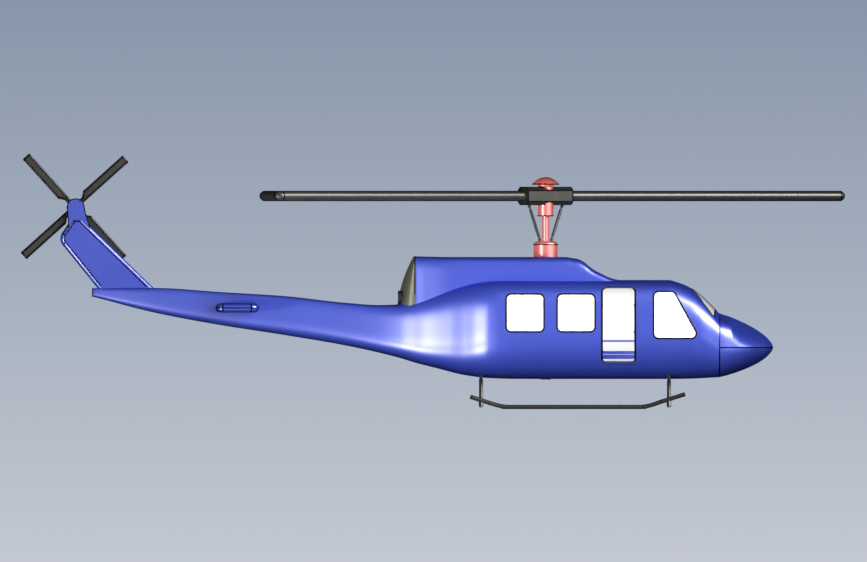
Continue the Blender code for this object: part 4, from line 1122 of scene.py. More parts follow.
def end_cap():
    """The domed cap that closes the cowling's rear, cut for the two exhausts."""
    levels, across = 48, 64
    high = float(cowl_top(COWL_REAR)) - CAP_UNDER
    edge = COWL_REAR - GAP
    z = np.linspace(high, CAP_LOW, levels + 1)
    depth = np.minimum((high + CAP_UNDER - z) / CAP_DEEPEST, 1)
    bulge = CAP_BULGE * (depth + CAP_BELLY * depth * (1 - depth)) + CAP_LIFT
    above = np.maximum(z - COWL_MIDDLE, 0) / (high + CAP_UNDER - COWL_MIDDLE)
    half = float(cowl_width(COWL_REAR)) * np.maximum(1 - above**COWL_FULL, 0.0005) ** (1 / COWL_FULL)
    angles = np.linspace(0, math.pi, across + 1)
    x = edge - CAP_RIM - bulge[:, None] * np.abs(np.sin(angles))[None, :] ** CAP_ROUND
    y = half[:, None] * np.cos(angles)[None, :]
    grid = np.stack([x, y, z[:, None] + 0 * x], axis=-1)
    first, last = grid[:, :1].copy(), grid[:, -1:].copy()
    first[..., 0] = last[..., 0] = edge
    obj = loft("cowl_end_cap_skin", np.concatenate([first, grid, last], axis=1), [FINISH["cap"]])
    cutters = []
    for side in (EXHAUST_SIDE, -EXHAUST_SIDE):
        front = (EXHAUST_FRONT + CAP_CUT_FRONT, side, EXHAUST_HEIGHT)
        rear = (EXHAUST_REAR - CAP_CUT_REAR, side, EXHAUST_HEIGHT)
        cutters.append(rod(front, rear, EXHAUST_RADIUS + GAP, 64))
    carve(obj, "DIFFERENCE", *cutters)
    remove(*cutters)
    soften(obj, 40)
    fit(obj, "airframe", "beige_metal", "cowl_end_cap")
    path = grid[:, across // 2]
    normals = unit(np.cross((0, 1, 0), np.gradient(path, axis=0)))
    seam = bead("cowl_end_cap_seam", path, normals, LINE_WIDTH, CAP_LINE_RISE, False)
    fit(seam, "airframe", "black_panel")


def rod(start, end, radius, sides, finishes=()):
    """A straight round bar between two points."""
    start, end = Vector(start), Vector(end)
    turn = Vector((0, 0, 1)).rotation_difference(end - start).to_matrix()
    angles = [2 * math.pi * k / sides for k in range(sides)]
    circle = [turn @ Vector((radius * math.cos(a), radius * math.sin(a), 0)) for a in angles]
    return loft("rod", [[start + p for p in circle], [end + p for p in circle]], finishes)


def door_cutter(shrink):
    outline = rounded(moved_in(DOOR_CORNERS, shrink), CORNER - shrink / 2)
    return prism("cutter", outline, "Y", *SIDE_BAND)


def doors():
    finishes = [FINISH["door"], FINISH["lining"], BLACK]
    leaf = side_wall("leaf", 0.0, DOOR_SKIN, finishes, *DOOR_BLANK)
    cutter = door_cutter(DOOR_GAP)
    carve(leaf, "INTERSECT", cutter)
    pan = side_wall("pan", DOOR_SKIN - DOOR_LAP, WALL, finishes, *DOOR_BLANK)
    step_cutter = door_cutter(DOOR_GAP + DOOR_STEP)
    carve(pan, "INTERSECT", step_cutter)
    carve(leaf, "UNION", pan)
    remove(pan, cutter, step_cutter)
    for sign, hand in HANDS:
        name = f"door_{hand}"
        door = copy_of(leaf, name + "_skin") if sign > 0 else mirrored(leaf, name + "_skin")
        shade(door, {PAINT: body_field, LINING: lining_field})
        fit(door, name, "white_paint", name)
        path, normals = skin_path(rounded(moved_in(DOOR_CORNERS, DOOR_GAP), DOOR_SEAL_CORNER), sign)
        rim = bead(f"door_seal_{hand}", path, normals, DOOR_SEAL_WIDTH, DOOR_SEAL_RISE)
        fit(rim, name, "black_panel")
        hinge_pieces(sign, hand)
    remove(leaf)


def hinge_pieces(sign, hand):
    """The two hinges at the door's front edge: an upper knuckle on the door, a lower one on the frame."""
    side = HALF_WIDTH + HINGE_OUT
    axis_x = DOOR_FRONT - DOOR_GAP / 2
    for body, owner, way in ((f"door_{hand}", "door", 1), ("airframe", "frame", -1)):
        made = []

        def bar(near, far, inner, outer):
            start, end = sorted((axis_x - way * near, axis_x - way * far))
            made.append(box("bar", (start, inner, low), (end, outer, high), [BLACK]))

        for height in HINGE_HEIGHTS:
            low, high = sorted((height + way * GAP, height + way * HINGE_HALF))
            made.append(rod((axis_x, side, low), (axis_x, side, high), HINGE_RADIUS, 24, [BLACK]))
            bar(STRAP_NEAR, STRAP_FAR, HALF_WIDTH - STRAP_IN, HALF_WIDTH + STRAP_OUT)
            bar(0, WEB_FAR, HALF_WIDTH + WEB_LOW, HALF_WIDTH + WEB_HIGH)
            at = (axis_x - way * HINGE_SCREW, HALF_WIDTH + STRAP_OUT, (low + high) / 2)
            made.append(screw(at, (0, 1, 0), HINGE_SCREW_RADIUS))
        obj = joined(f"hinges_{owner}_{hand}", made)
        if sign < 0:
            other = mirrored(obj, "turned")
            remove(obj)
            other.name = f"hinges_{owner}_{hand}"
            obj = other
        fit(soften(obj), body, "blue_paint")


def turn_to(direction):
    return Vector((0, 0, 1)).rotation_difference(Vector(direction)).to_matrix().to_4x4()


def turned(name, profile, finish, axis=(0, 0, 1), at=(0, 0, 0), sides=64):
    """A solid of revolution from a closed outline of (radius, height) points about an axis."""
    rows = []
    for k in range(sides):
        angle = 2 * math.pi * k / sides
        rows.append([(r * math.cos(angle), r * math.sin(angle), z) for r, z in profile])
    count = len(profile)
    faces = quads(sides, count, True)
    last = (sides - 1) * count
    faces += [(last + j, last + (j + 1) % count, (j + 1) % count, j) for j in range(count)]
    form = bmesh.new()
    points = [form.verts.new(p) for row in rows for p in row]
    for face in faces:
        form.faces.new([points[i] for i in face])
    bmesh.ops.remove_doubles(form, verts=form.verts, dist=0.00002)
    bmesh.ops.dissolve_degenerate(form, edges=form.edges, dist=0.00001)
    bmesh.ops.recalc_face_normals(form, faces=form.faces)
    bmesh.ops.transform(form, matrix=Matrix.Translation(at) @ turn_to(axis), verts=form.verts)
    return add_object(name, mesh_of(name, form, [finish]))


def softened(corners, radii, steps=4):
    """Outline of a turned piece whose corners are rounded."""
    return [(p.x, p.y) for p in rounded(corners, radii, steps)]


def drum(radius, low, high, edge=0.006, bore=0.0):
    """Outline of a round block with softened outer edges."""
    return softened([(bore, low), (radius, low), (radius, high), (bore, high)], [0, edge, edge, 0])


def screw(at, axis, radius):
    """A low domed screw head."""
    dome = [(radius, radius * 0.25), (radius * 0.7, radius * 0.5), (0, radius * 0.6)]
    return turned("screw", [(0, -0.001), (radius, -0.001)] + dome, FINISH["bolt"], axis, at, 12)


def tube(name, paths, radius, finish, closed=False, fineness=6):
    """Round tubes along paths, as one mesh, with closed ends."""
    curve = bpy.data.curves.new(name, "CURVE")
    curve.dimensions = "3D"
    curve.bevel_depth = radius
    curve.bevel_resolution = fineness
    curve.use_fill_caps = True
    for path in paths:
        line = curve.splines.new("POLY")
        line.points.add(len(path) - 1)
        line.use_cyclic_u = closed
        for point, place in zip(line.points, path):
            point.co = (*place, 1)
    guide = add_object(name + "_guide", curve)
    mesh = bpy.data.meshes.new_from_object(guide.evaluated_get(bpy.context.evaluated_depsgraph_get()))
    remove(guide)
    clean(mesh, 0.00001, turn_out=False)
    mesh.materials.clear()
    mesh.materials.append(finish)
    return add_object(name, mesh)


def lines(name, paths, radius, closed=False):
    """Thin round beads of black rubber along paths, as one mesh."""
    return crisp(tube(name, paths, radius, BLACK, closed, 2))


def shrunk(corners, radii, shrink):
    """A rounded outline moved in, whose radii shrink with it."""
    return rounded(moved_in(corners, shrink), [max(r - shrink, 0.002) if r else 0 for r in radii])


def round_plate(name, corners, radii, half, finish, place, steps=EDGE_STEPS):
    """A flat plate with full round edges. place turns u, v and the distance across into a point."""
    rings = []
    for k in range(-steps, steps + 1):
        angle = math.pi / 2 * k / steps
        shrink = half * (1 - math.cos(angle))
        outline = shrunk(corners, radii, shrink)
        rings.append([place(p.x, p.y, half * math.sin(angle)) for p in outline])
    return loft(name, rings, [finish])


def cut_flat(obj, point, normal, turn):
    """Cuts off what lies beyond a plane and closes the cut, then turns the piece."""
    form = bmesh.new()
    form.from_mesh(obj.data)
    everything = form.verts[:] + form.edges[:] + form.faces[:]
    plane = {"plane_co": point, "plane_no": normal}
    cut = bmesh.ops.bisect_plane(form, geom=everything, dist=0.00001, clear_outer=True, **plane)
    edges = [item for item in cut["geom_cut"] if isinstance(item, bmesh.types.BMEdge)]
    bmesh.ops.holes_fill(form, edges=edges)
    bmesh.ops.recalc_face_normals(form, faces=form.faces)
    bmesh.ops.transform(form, matrix=turn, verts=form.verts)
    form.to_mesh(obj.data)
    form.free()


def unbroken(outline, shown):
    """The part of a closed outline whose points pass a test, from its first one to its last."""
    start = next(i for i in range(len(outline)) if shown(outline[i]) and not shown(outline[i - 1]))
    turned_round = outline[start:] + outline[:start]
    return [p for p in turned_round if shown(p)]


def plate_lines(corners, radii, half, place, shown, wide=LINE_WIDTH, rise=LINE_RISE):
    """Black lines where a round plate's edge meets its faces, and over the edge beside each corner."""
    flat = shrunk(corners, radii, half)
    centre = sum(flat, Vector((0, 0))) / len(flat)
    up = Vector(place(0, 0, 1)) - Vector(place(0, 0, 0))
    outline = unbroken(dense(flat, 0.1), shown)
    made = []
    for side in (-1, 1):
        path = [place(p.x, p.y, side * half) for p in outline]
        made.append(bead("line", path, [side * up] * len(path), wide, rise, False))
    first = 0
    for radius in radii:
        if not radius:
            first += 1
            continue
        last = first + ARC
        for at, beyond in ((flat[first], flat[first - 1]), (flat[last], flat[(last + 1) % len(flat)])):
            along = (beyond - at).normalized()
            out = Vector((-along.y, along.x))
            if out.dot(at - centre) < 0:
                out.negate()
            outward = Vector(place(out.x, out.y, 0)) - Vector(place(0, 0, 0))
            turns = np.linspace(-math.pi / 2, math.pi / 2, 13)
            normals = [outward * math.cos(t) + up * math.sin(t) for t in turns]
            path = [Vector(place(at.x, at.y, 0)) + n * half for n in normals]
            made.append(bead("line", path, normals, wide, rise, False))
        first = last + 1
    return made


def upright(u, v, across):
    """A point of a plate that stands in the middle plane."""
    return (u, across, v)


def fin():
    obj = round_plate("tail_fin_skin", FIN, FIN_CORNERS, FIN_HALF, FINISH["blue"], upright)
    fit(soften(obj), "airframe", "blue_paint", "tail_fin")
    rings = []
    for side, shrink in ((-1, FAIRING_EDGE), (-1, 0.0), (1, 0.0), (1, FAIRING_EDGE)):
        depth = FAIRING_HALF - (FAIRING_EDGE if shrink == 0 else 0)
        rings.append([upright(p.x, p.y, side * depth) for p in shrunk(FAIRING, FAIRING_CORNERS, shrink)])
    fairing = soften(loft("tail_gearbox_fairing_skin", rings, [FINISH["blue"]]), 25)
    fit(fairing, "airframe", "blue_paint", "tail_gearbox_fairing")
    made = plate_lines(FIN, FIN_CORNERS, FIN_HALF, upright, lambda p: p.y > float(top(p.x)) - 0.02)
    for sign in (1, -1):
        path = unbroken(dense(rounded(FAIRING, FAIRING_CORNERS), 0.05), lambda p: p.y > FAIRING_LINE_LOW)
        path = [(p.x, sign * (FAIRING_HALF - 0.003), p.y) for p in path]
        made.append(bead("edge", path, [(0, sign, 0)] * len(path), LINE_WIDTH, FAIRING_LINE_RISE, False))
    fit(joined("tail_fin_edging", made), "airframe", "black_panel")


def stabilisers():
    half = (STAB_HIGH - STAB_LOW) / 2
    middle = (STAB_HIGH + STAB_LOW) / 2
    radii = [0, 0, STAB_CORNER, STAB_CORNER]
    corners = [(STAB_REAR, STAB_ROOT), (STAB_FRONT, STAB_ROOT)]
    corners += [(STAB_FRONT, STAB_SPAN), (STAB_REAR, STAB_SPAN)]
    for sign, hand in HANDS:

        def place(u, v, across):
            return (u, sign * v, middle + across)

        def shown(p):
            return p.y > STAB_SHOWN

        obj = soften(round_plate(f"stabiliser_{hand}_skin", corners, radii, half, FINISH["blue"], place))
        fit(obj, "airframe", "blue_paint", f"stabiliser_{hand}")
        made = plate_lines(corners, radii, half, place, shown, STAB_LINE, STAB_LINE / 2)
        outline = unbroken(dense(rounded(corners, radii), 0.1), shown)
        path = np.array([place(p.x, p.y, 0) for p in outline])
        normals = unit(np.cross(np.gradient(path, axis=0), (0, 0, sign)))
        made.append(bead("line", path, normals, STAB_LINE, LINE_RISE, False))
        fit(joined(f"stabiliser_{hand}_edging", made), "airframe", "black_panel")


def main_rotor():
    red = FINISH["red"]
    block = drum(HOUSING_RADIUS, HOUSING_LOW, HOUSING_HIGH, 0.006, HOUSING_BORE)
    fit(soften(turned("mast_housing_skin", block, red)), "airframe", "red_paint", "mast_housing")
    profile = [(MAST_RADIUS + GAP, HOUSING_HIGH + GAP), (HOUSING_RADIUS, HOUSING_HIGH + GAP)]
    profile += [(radius, SWASH_HIGH - under) for radius, under in SWASH_SHOULDER]
    profile.append((MAST_RADIUS + GAP, SWASH_HIGH))
    outline = softened(profile, [0, 0.003, 0.010, 0.010, 0.006, 0], 3)
    fit(soften(turned("swashplate_skin", outline, red), 50), "main_rotor", "red_paint", "swashplate")
    profile = [
        (0.0, MAST_LOW), (MAST_RADIUS, MAST_LOW), (MAST_RADIUS, COLLAR_LOW), (COLLAR_RADIUS, COLLAR_LOW),
        (COLLAR_RADIUS, COLLAR_HIGH), (0.0, COLLAR_HIGH),
    ]
    outline = softened(profile, [0, 0, 0.010, 0.006, 0, 0])
    fit(soften(turned("mast_skin", outline, red)), "main_rotor", "red_paint", "mast")
    rise = CAP_HIGH - COLLAR_HIGH - GAP
    sphere = (CAP_RADIUS**2 + rise**2) / (2 * rise)
    reach = math.asin(CAP_RADIUS / sphere)
    turns = [reach * k / 24 for k in range(25)]
    dome = [(sphere * math.sin(t), CAP_HIGH - sphere * (1 - math.cos(t))) for t in turns]
    dome.append((CAP_RADIUS - 0.004, COLLAR_HIGH + GAP))
    dome.append((0.0, COLLAR_HIGH + GAP))
    fit(soften(turned("rotor_cap_skin", dome, red)), "main_rotor", "red_paint", "rotor_cap")
    rings = [
        (HOUSING_RADIUS + 0.001, HOUSING_HIGH - 0.002, "airframe"),
        (CAP_RADIUS - 0.004, COLLAR_HIGH + 0.006, "main_rotor"),
        (COLLAR_RADIUS, COLLAR_LOW + 0.004, "main_rotor"),
    ]
    for body in ("airframe", "main_rotor"):
        paths = [disc_ring(r, z, 64) for r, z, owner in rings if owner == body]
        fit(lines(f"mast_joints_{body}", paths, MAST_LINE, True), body, "black_panel")
    hub_trim()
    for direction, name in ((1, "forward"), (-1, "aft")):
        blade(name, direction)
        pitch_link(name, direction)


def hub_trim():
    """Black edges and the bolts of the hub; the hub's own solid stays."""
    dress("rotor_hub", "dark")
    ends = [sign * HUB_LENGTH / 2 * HUB_LINE_IN for sign in (-1, 1)]
    c = HUB_CHAMFER
    y, low, high = HUB_WIDTH / 2, HUB_LOW, HUB_HIGH
    around = [(y, low + c), (y, high - c), (y - c, high), (-y + c, high)]
    around += [(-y, high - c), (-y, low + c), (-y + c, low), (y - c, low)]
    turn = Matrix.Rotation(HUB_TURN, 4, "Z")
    paths = [[turn @ Vector((x, a, b)) for a, b in around + around[:1]] for x in ends]
    paths += [[turn @ Vector((x, a, b)) for x in ends] for a, b in around]
    fit(lines("rotor_hub_edging", paths, HUB_LINE), "main_rotor", "black_panel")
    made = []
    washer, head = drum(0.020, -0.002, 0.004, 0.001), drum(0.012, 0.003, 0.014, 0.002)
    for direction in (1, -1):
        for across in HUB_BOLTS_ACROSS:
            for out in HUB_BOLTS_OUT:
                at = turn @ Vector((direction * out, across, HUB_HIGH))
                for profile, sides in ((washer, 24), (head, 6)):
                    made.append(turned("bolt", profile, FINISH["bolt"], (0, 0, 1), at, sides))
    fit(joined("rotor_hub_bolts", made), "main_rotor", "dark_metal")


def blade(name, direction):
    root = HUB_LENGTH / 2 + GAP
    half = BLADE_THICK / 2
    inside, tip = direction * (root - BLADE_INSIDE), direction * BLADE_TIP
    corners = [(inside, -BLADE_NEAR[0]), (tip, -BLADE_NEAR[1]), (tip, BLADE_FAR[1]), (inside, BLADE_FAR[0])]
    radii = [0, BLADE_TIP_CORNER, BLADE_TIP_CORNER, 0]
    turn = Matrix.Rotation(HUB_TURN, 4, "Z")

    def place(u, v, across):
        return (u, v, BLADE_MIDDLE + across)

    obj = round_plate(f"rotor_blade_{name}_skin", corners, radii, half, FINISH["blade"], place)
    cut_flat(obj, (direction * root, 0, 0), (-direction, 0, 0), turn)
    fit(soften(obj), "main_rotor", "dark_composite", f"rotor_blade_{name}")
    made = plate_lines(corners, radii, half, lambda *p: turn @ Vector(place(*p)), lambda p: abs(p.x) > root,
                       BLADE_LINE, BLADE_LINE / 2)
    fit(joined(f"rotor_blade_{name}_edging", made), "main_rotor", "black_panel")


def pitch_link(name, direction):
    """A link with a thinner neck and a lock nut at each end."""
    out = Matrix.Rotation(HUB_TURN, 4, "Z") @ Vector((direction, 0, 0))
    tilt = math.atan2(LINK_TOP_OUT - LINK_LOW_OUT, HUB_LOW - SWASH_HIGH)
    lift = LINK_RADIUS * math.sin(tilt) + GAP
    foot = out * LINK_LOW_OUT + Vector((0, 0, SWASH_HIGH + lift))
    head = out * LINK_TOP_OUT + Vector((0, 0, HUB_LOW - lift))
    long = (head - foot).length
    near = [(share * LINK_RADIUS, at) for share, at in LINK_END]
    profile = near + [(radius, long - at) for radius, at in near[::-1]]
    obj = turned(f"pitch_link_{name}_skin", profile, FINISH["dark"], (head - foot).normalized(), foot, 32)
    fit(soften(obj), "main_rotor", "dark_metal", f"pitch_link_{name}")


def tail_rotor():
    made = []
    at = TAIL_HUB
    spindle = drum(TAIL_SPINDLE, FAIRING_HALF + GAP, TAIL_SIDE + TAIL_SPINDLE_PAST, 0.008)
    made.append(turned("spindle", spindle, FINISH["dark"], (0, 1, 0), at, 48))
    disc = drum(TAIL_HUB_RADIUS, TAIL_SIDE - TAIL_HUB_HALF, TAIL_SIDE + TAIL_HUB_HALF, 0.010)
    made.append(turned("disc", disc, FINISH["dark"], (0, 1, 0), at, 64))
    bolt_head = drum(0.010, -0.002, 0.008, 0.002)
    for k in range(4):
        turn = Matrix.Rotation(TAIL_TURN + math.pi / 2 * k, 2)

        def place(u, v, across):
            p = turn @ Vector((u, v))
            return (p.x + at.x, TAIL_SIDE + across, p.y + at.z)

        plate = (TAIL_BLADE, TAIL_BLADE_CORNERS, TAIL_BLADE_THICK / 2)
        made.append(round_plate("blade", *plate, FINISH["blade"], place, 5))
        made += plate_lines(*plate, place, lambda p: p.x > TAIL_HUB_RADIUS + 0.004)
        for side in (-1, 1):
            for out in TAIL_BOLTS_OUT:
                bolt = place(out, 0, side * TAIL_HUB_HALF)
                made.append(turned("bolt", bolt_head, FINISH["bolt"], (0, side, 0), bolt, 6))
    obj = soften(joined("tail_rotor_skin", made))
    fit(obj, "tail_rotor", "dark_composite", "tail_rotor")


def smooth_path(points, steps=6):
    """Points along a smooth curve through the given ones."""
    points = [Vector(p) for p in points]
    found = []
    for i in range(len(points) - 1):
        before = points[max(i - 1, 0)]
        a, b = points[i], points[i + 1]
        after = points[min(i + 2, len(points) - 1)]
        if (b - a).length > 1.0:
            found += [a + (b - a) * k / steps for k in range(steps)]
            continue
        for k in range(steps):
            t = k / steps
            square = (2 * before - 5 * a + 4 * b - after) * t * t
            cube = (3 * a - before - 3 * b + after) * t**3
            found.append(0.5 * ((2 * a) + (b - before) * t + square + cube))
    return found + [points[-1]]


def landing_gear():
    plug = drum(SKID_RADIUS * 0.97, -0.02, 0.004, 0.004)
    ring = drum(SKID_RADIUS + RING_OUT, -RING_HALF, RING_HALF, 0.001, SKID_RADIUS - RING_IN)
    for sign, hand in HANDS:
        path = smooth_path([(x, sign * SKID_SIDE, z) for x, z in SKID_PATH])
        made = [tube("skid", [path], SKID_RADIUS, FINISH["gear"])]
        for end, ahead in ((path[0], path[0] - path[1]), (path[-1], path[-1] - path[-2])):
            made.append(turned("plug", plug, BLACK, ahead.normalized(), end, 32))
        for x in SKID_RINGS:
            i = min(range(1, len(path)), key=lambda k: abs(path[k].x - x))
            ahead = (path[i] - path[i - 1]).normalized()
            share = (x - path[i - 1].x) / (path[i].x - path[i - 1].x)
            made.append(turned("ring", ring, BLACK, ahead, path[i - 1].lerp(path[i], share), 32))
        fit(soften(joined(f"skid_{hand}_skin", made), 40), "airframe", "dark_metal", f"skid_{hand}")
    for name, x in CROSS_PLACES.items():
        cross_tube(f"cross_tube_{name}", x)


def cross_tube(node, x):
    """A cross tube bent down to both skids, with its saddles and the sockets on the skids."""
    gear = [FINISH["gear"]]
    level = float(bottom(x)) - CROSS_RADIUS - CROSS_CLEAR
    foot = SKID_PATH[6][1]
    half = [(y, level - drop) for y, drop in CROSS_BEND]
    half += [(CROSS_KNEE, foot + CROSS_KNEE_RISE), (SKID_SIDE, foot)]
    corners = [(x, -y, z) for y, z in half[::-1]] + [(x, y, z) for y, z in half]
    made = [tube("bar", [smooth_path(corners, 5)], CROSS_RADIUS, FINISH["gear"])]
    socket = drum(CROSS_RADIUS + 0.006, 0.0, SOCKET_LONG, 0.004, CROSS_RADIUS - 0.004)
    high = float(bottom(x)) + SADDLE_RISE
    for sign in (1, -1):
        near, far = sorted((sign * (SADDLE_SIDE - SADDLE_WIDE), sign * (SADDLE_SIDE + SADDLE_WIDE)))
        made.append(box("saddle", (x - SADDLE_LONG, near, level), (x + SADDLE_LONG, far, high), gear))
        at = Vector((x, sign * (SKID_SIDE - 0.001), foot + SOCKET_RISE))
        made.append(turned("socket", socket, FINISH["gear"], (0, -sign * SOCKET_LEAN, 1), at, 32))
    fit(soften(joined(node + "_skin", made), 40), "airframe", "dark_metal", node)


def exhausts():
    r, bore = EXHAUST_RADIUS, EXHAUST_BORE
    long, deep = EXHAUST_FRONT - EXHAUST_REAR, EXHAUST_BOTTOM - EXHAUST_FRONT
    lip, edge = long - EXHAUST_LIP, EXHAUST_LIP_EDGE
    profile = [(0, 0), (r, 0), (r, lip), (r - edge, long), (bore + edge, long), (bore, lip)]
    profile += [(bore - inward, rise - deep) for inward, rise in EXHAUST_STEPS]
    profile += [(EXHAUST_CONE, -deep), (0.0, EXHAUST_CONE_HIGH - deep)]
    for sign, hand in HANDS:
        at = (EXHAUST_FRONT, sign * EXHAUST_SIDE, EXHAUST_HEIGHT)
        obj = turned(f"exhaust_{hand}_skin", profile, FINISH["soot"], (-1, 0, 0), at, 64)
        fit(soften(obj), "airframe", "dark_metal", f"exhaust_{hand}")


def ring_normals(field, path):
    """Normals of a skin, kept square to the body's length."""
    return unit(slope(field, path) * np.array([0, 1, 1]))


def joints():
    """Black lines at the nose's joints, and at the rear ends of the cowling and the boom."""
    made = []
    angles = np.linspace(0, 2 * math.pi, 160, endpoint=False)
    for x in (NOSE_SPLIT, BOOM_END + END_LINE_IN):
        path = section([x], angles, body_sizes)[0]
        made.append(bead("joint", path, ring_normals(body_field, path), JOINT_WIDTH, JOINT_RISE))
    count = 60
    shares = np.linspace(1.0, 0.0, count)
    xs = NOSE_TIP - (NOSE_TIP - NOSE_SPLIT) * shares**2
    sides = nose_sizes(xs)[0]
    sides[-1] = 0
    port = np.stack([xs, sides, NOSE_LINE + 0 * xs], axis=1)
    path = np.concatenate([port, (port * np.array([1, -1, 1]))[::-1][1:]])
    normals = slope(nose_field, path)
    normals[count - 1] = (1, 0, 0)
    made.append(bead("joint", path, normals, JOINT_WIDTH, JOINT_RISE, False))
    grid = cowl_grid(np.array([COWL_REAR]), 0.0)[0][4:-4]
    made.append(bead("joint", grid, ring_normals(cowl_field, grid), JOINT_WIDTH, JOINT_RISE, False))
    fit(joined("body_joints", made), "airframe", "black_panel")


def dress(node, finish):
    """A better material on a solid whose shape stays."""
    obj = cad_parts[node]
    obj.data.materials.clear()
    obj.data.materials.append(FINISH[finish])


def cushion(low, high):
    """A stuffed block with round edges whose faces swell in the middle."""
    form = bmesh.new()
    bmesh.ops.create_cube(form, size=2)
    bmesh.ops.subdivide_edges(form, edges=form.edges, cuts=CUSHION_CUTS, use_grid_fill=True)
    middle = [(a + b) / 2 for a, b in zip(low, high)]
    half = [(b - a) / 2 for a, b in zip(low, high)]
    for v in form.verts:
        p = v.co.copy()
        p /= sum(abs(c) ** CUSHION_SQUARE for c in p) ** (1 / CUSHION_SQUARE)
        for i in range(3):
            across = (1 - p[(i + 1) % 3] ** 2) * (1 - p[(i + 2) % 3] ** 2)
            swell = CUSHION_CROWN * across * max(abs(p[i]) - CUSHION_FLANK, 0) / (1 - CUSHION_FLANK)
            v.co[i] = middle[i] + math.copysign(abs(p[i]) * (half[i] - CUSHION_CROWN) + swell, p[i])
    obj = add_object("cushion", mesh_of("cushion", form, [FINISH["seat"]]))
    obj.data.shade_smooth()
    return obj


def seat(name, x, y, width, depth, height):
    low = FLOOR_TOP + GAP
    y0, y1 = y - width / 2, y + width / 2
    rear, front = x + SEAT_FRAME_REAR, x + depth - SEAT_FRAME_FRONT
    start, end = y0 + SEAT_FRAME_SIDE, y1 - SEAT_FRAME_SIDE
    made = [box("frame", (rear, start, low), (front, end, low + SEAT_FRAME_HIGH), [FINISH["dark"]])]
    made.append(cushion((x + BACK_LAP, y0, low + SEAT_LOW), (x + depth, y1, low + SEAT_HIGH)))
    made.append(cushion((x, y0, low + BACK_LOW), (x + BACK_THICK, y1, low + height)))
    obj = joined(f"{name}_padded", made)
    fit(obj, "airframe", "seat_fabric", name)


def interior():
    for name, sizes in SEATS.items():
        seat(name, *sizes)
    dress("instrument_panel", "panel")
    dress("cabin_floor", "floor")
    dress("engine_block", "engine")
    dress("cargo_hook_plate", "gear")
    made = []
    needle = drum(0.008, 0.004, 0.009, 0.002)
    for k in range(5):
        for row in range(2):
            at = (DIAL_X, DIAL_Y + DIAL_ACROSS * k, DIAL_Z + DIAL_UP * row)
            made.append(turned("dial", DIAL, FINISH["dark"], (-1, 0, 0), at, 32))
            made.append(turned("needle", needle, FINISH["white"], (-1, 0, 0), at, 12))
    fit(soften(joined("instruments", made)), "airframe", "black_panel")


def camera_and_stage():
    camera = bpy.data.cameras.new("camera")
    camera.type = "ORTHO"
    camera.ortho_scale = PHOTO_WIDTH * PIXEL
    camera.clip_end = CAMERA_SEES
    obj = add_object("camera", camera)
    across = (PHOTO_WIDTH / 2 - ZERO_COLUMN) * PIXEL
    up = (ZERO_ROW - PHOTO_HEIGHT / 2) * PIXEL
    obj.location = (across, -CAMERA_FAR, up)
    obj.rotation_euler = (math.radians(90), 0, 0)
    bpy.context.scene.camera = obj
    bpy.context.scene.view_settings.view_transform = "Standard"
    matt = {"patches": (0.4, 0.02), "specular_ior_level": 0.0}
    floor_finish = plain_finish("floor_paint", (0.62, 0.64, 0.68), 0.9, **matt)
    ring = disc_ring(STAGE_RADIUS, GROUND)
    floor = mesh_object("floor", ring, [tuple(range(len(ring)))], [floor_finish.material], False)
    floor.visible_diffuse = False
    floor.visible_glossy = False
    floor.visible_shadow = False
    rings = np.array([disc_ring(STAGE_RADIUS, STAGE_LOW), disc_ring(STAGE_RADIUS, STAGE_HIGH)])
    sides = quads(2, rings.shape[1], True)
    dome = mesh_object("backdrop", rings.reshape(-1, 3), sides, [backdrop_finish()], False)
    for way in ("visible_diffuse", "visible_glossy", "visible_shadow", "visible_transmission"):
        setattr(dome, way, False)


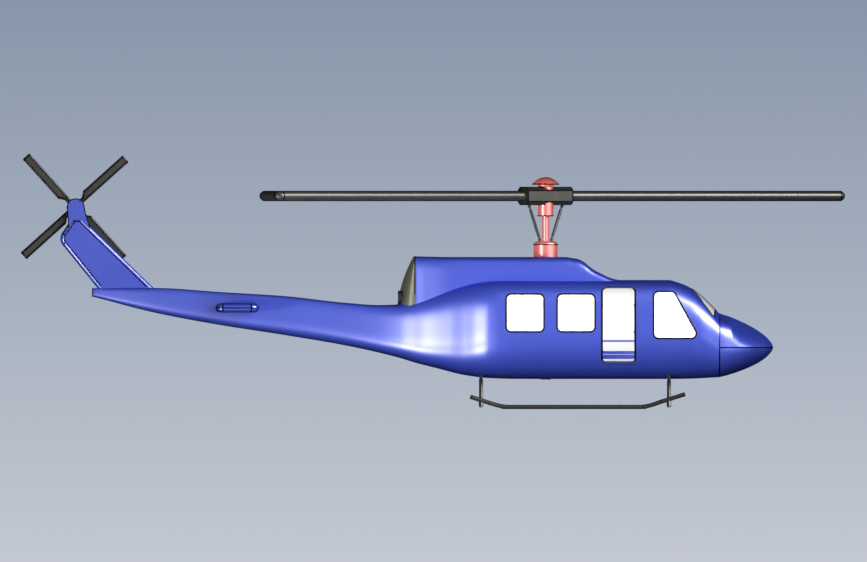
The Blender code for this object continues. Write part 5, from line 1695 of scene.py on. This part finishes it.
def backdrop_finish():
    """Even grey-blue light that darkens with height."""
    backdrop = bpy.data.materials.new("backdrop_paint")
    backdrop.use_nodes = True
    tree = backdrop.node_tree
    tree.nodes.clear()
    place = tree.nodes.new("ShaderNodeTexCoord")
    split = tree.nodes.new("ShaderNodeSeparateXYZ")
    scale = tree.nodes.new("ShaderNodeMapRange")
    scale.inputs["From Min"].default_value = SKY_LOW
    scale.inputs["From Max"].default_value = SKY_HIGH
    ramp = tree.nodes.new("ShaderNodeValToRGB")
    ramp.color_ramp.elements.new(0.5)
    for stop, color in zip(ramp.color_ramp.elements, SKY_COLORS):
        stop.color = (*srgb(*color), 1)
    glow = tree.nodes.new("ShaderNodeEmission")
    out = tree.nodes.new("ShaderNodeOutputMaterial")
    tree.links.new(place.outputs["Object"], split.inputs["Vector"])
    tree.links.new(split.outputs["Z"], scale.inputs["Value"])
    tree.links.new(scale.outputs["Result"], ramp.inputs["Fac"])
    tree.links.new(ramp.outputs["Color"], glow.inputs["Color"])
    tree.links.new(glow.outputs["Emission"], out.inputs["Surface"])
    return backdrop


def disc_ring(radius, z, count=96):
    angles = [2 * math.pi * k / count for k in range(count)]
    return [(radius * math.cos(a), radius * math.sin(a), z) for a in angles]


def lamp(name, azimuth, elevation, size, far, power, soft):
    """A square lamp outside the picture that only lights colours, if soft, or is only seen in gloss."""
    light = bpy.data.lights.new(name, "AREA")
    light.size = size
    light.energy = power
    light.cycles.use_multiple_importance_sampling = False
    obj = add_object(name, light)
    turn, lift = math.radians(azimuth), math.radians(elevation)
    away = Vector((math.sin(turn) * math.cos(lift), -math.cos(turn) * math.cos(lift), math.sin(lift)))
    obj.location = LAMP_MIDDLE + away * far
    obj.rotation_mode = "QUATERNION"
    obj.rotation_quaternion = away.to_track_quat("Z", "Y")
    obj.visible_camera = False
    obj.visible_diffuse = soft
    obj.visible_glossy = not soft


def lights():
    """A dim room, soft lamps for the colours and distant hard ones for the highlights."""
    world = bpy.data.worlds.new("room")
    bpy.context.scene.world = world
    world.use_nodes = True
    background = world.node_tree.nodes["Background"]
    background.inputs["Color"].default_value = (1, 1, 1, 1)
    background.inputs["Strength"].default_value = ROOM
    for name, (azimuth, elevation, power) in SOFT_LAMPS.items():
        lamp(name, azimuth, elevation, SOFT_SIZE, SOFT_FAR, power, True)
    for name, (azimuth, elevation, power) in HARD_LAMPS.items():
        lamp(name, azimuth, elevation, HARD_SIZE, HARD_FAR, power, False)


cabin()
panes()
seals()
doors()
nose()
rear_body()
cowling()
end_cap()
joints()
fin()
stabilisers()
main_rotor()
tail_rotor()
landing_gear()
exhausts()
interior()
camera_and_stage()
lights()
